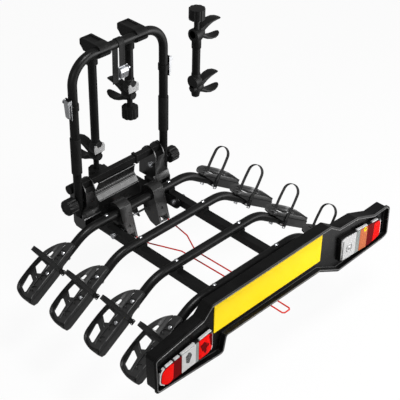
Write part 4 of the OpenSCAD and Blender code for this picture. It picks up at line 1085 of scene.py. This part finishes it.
def floor_material():
    shader = Shader("floor")
    shader.set(Base_Color=grey(0.86), Roughness=0.9, Specular_IOR_Level=0.1)
    tree = shader.tree
    path = tree.nodes.new("ShaderNodeLightPath").outputs
    place = shader.place()
    right = shader.ramp_between(place["X"], *MIRROR_X)
    front = shader.ramp_between(place["Y"], *MIRROR_Y)
    lit = shader.calculate("MULTIPLY", right, front)
    shown = shader.calculate("MULTIPLY_ADD", lit, MIRROR_LIGHT, MIRROR_DARK)
    seen = shader.calculate("MAXIMUM", path["Is Camera Ray"], path["Is Transmission Ray"])
    glow_share = shader.calculate("MULTIPLY", seen, FLOOR_GLOW)
    share = shader.calculate("MAXIMUM", glow_share, path["Is Glossy Ray"])
    mirrored = shader.calculate("MULTIPLY", path["Is Glossy Ray"], shown)
    strength = shader.calculate("ADD", mirrored, seen)
    glow = shader.add("ShaderNodeEmission", Color=grey(1.0), Strength=strength)
    mix = tree.nodes.new("ShaderNodeMixShader")
    for socket, value in zip(mix.inputs, (share, shader.bsdf.outputs[0], glow.outputs[0])):
        shader.feed(socket, value)
    tree.links.new(mix.outputs[0], tree.nodes["Material Output"].inputs["Surface"])
    return shader.material


def make_stage():
    tool = bmesh.new()
    rows = []
    for radius, rise in FLOOR_RINGS:
        ring = [(radius * a, radius * b, FLOOR_Z + rise) for a, b in circle(1.0, FLOOR_SIDES)]
        rows.append([tool.verts.new(p) for p in ring])
    tool.faces.new(rows[0])
    for low, high in zip(rows, rows[1:]):
        add_band(tool, low, high)
    mesh = bpy.data.meshes.new("floor")
    bmesh.ops.recalc_face_normals(tool, faces=tool.faces)
    tool.to_mesh(mesh)
    tool.free()
    floor = bpy.data.objects.new("floor", mesh)
    bpy.context.scene.collection.objects.link(floor)
    mesh.materials.append(floor_material())


# Lamps: name, place, size and power. All look at LAMP_TARGET
LAMP_TARGET = Vector((0, -0.3, 0))
LAMP_LIST = [("key", (2.0, -2.7, 0.6), 2.4, 72.0), ("fill", (-2.8, -1.2, 1.5), 1.6, 15.0),
             ("top", (-0.1, -1.5, 2.9), 1.0, 70.0)]
WORLD_LIGHT = 0.28


def area_lamp(name, place, size, power):
    data = bpy.data.lights.new(name, "AREA")
    data.shape = "DISK"
    data.size = size
    data.energy = power
    lamp = bpy.data.objects.new(name, data)
    bpy.context.scene.collection.objects.link(lamp)
    lamp.location = place
    lamp.rotation_mode = "QUATERNION"
    lamp.rotation_quaternion = (LAMP_TARGET - Vector(place)).to_track_quat("-Z", "Y")


def make_lights():
    world = bpy.data.worlds.new("world")
    bpy.context.scene.world = world
    world.use_nodes = True
    background = world.node_tree.nodes["Background"]
    background.inputs["Color"].default_value = grey(1.0)
    background.inputs["Strength"].default_value = WORLD_LIGHT
    for name, place, size, power in LAMP_LIST:
        area_lamp(name, place, size, power)


bpy.context.scene.view_settings.view_transform = "Standard"
make_camera()
dress_nodes()
make_straps()
make_buckles()
make_trays()
make_board_rim()
make_lamps()
make_knobs()
make_claws()
make_loose_claw()
make_top_strap()
make_stage()
make_lights()
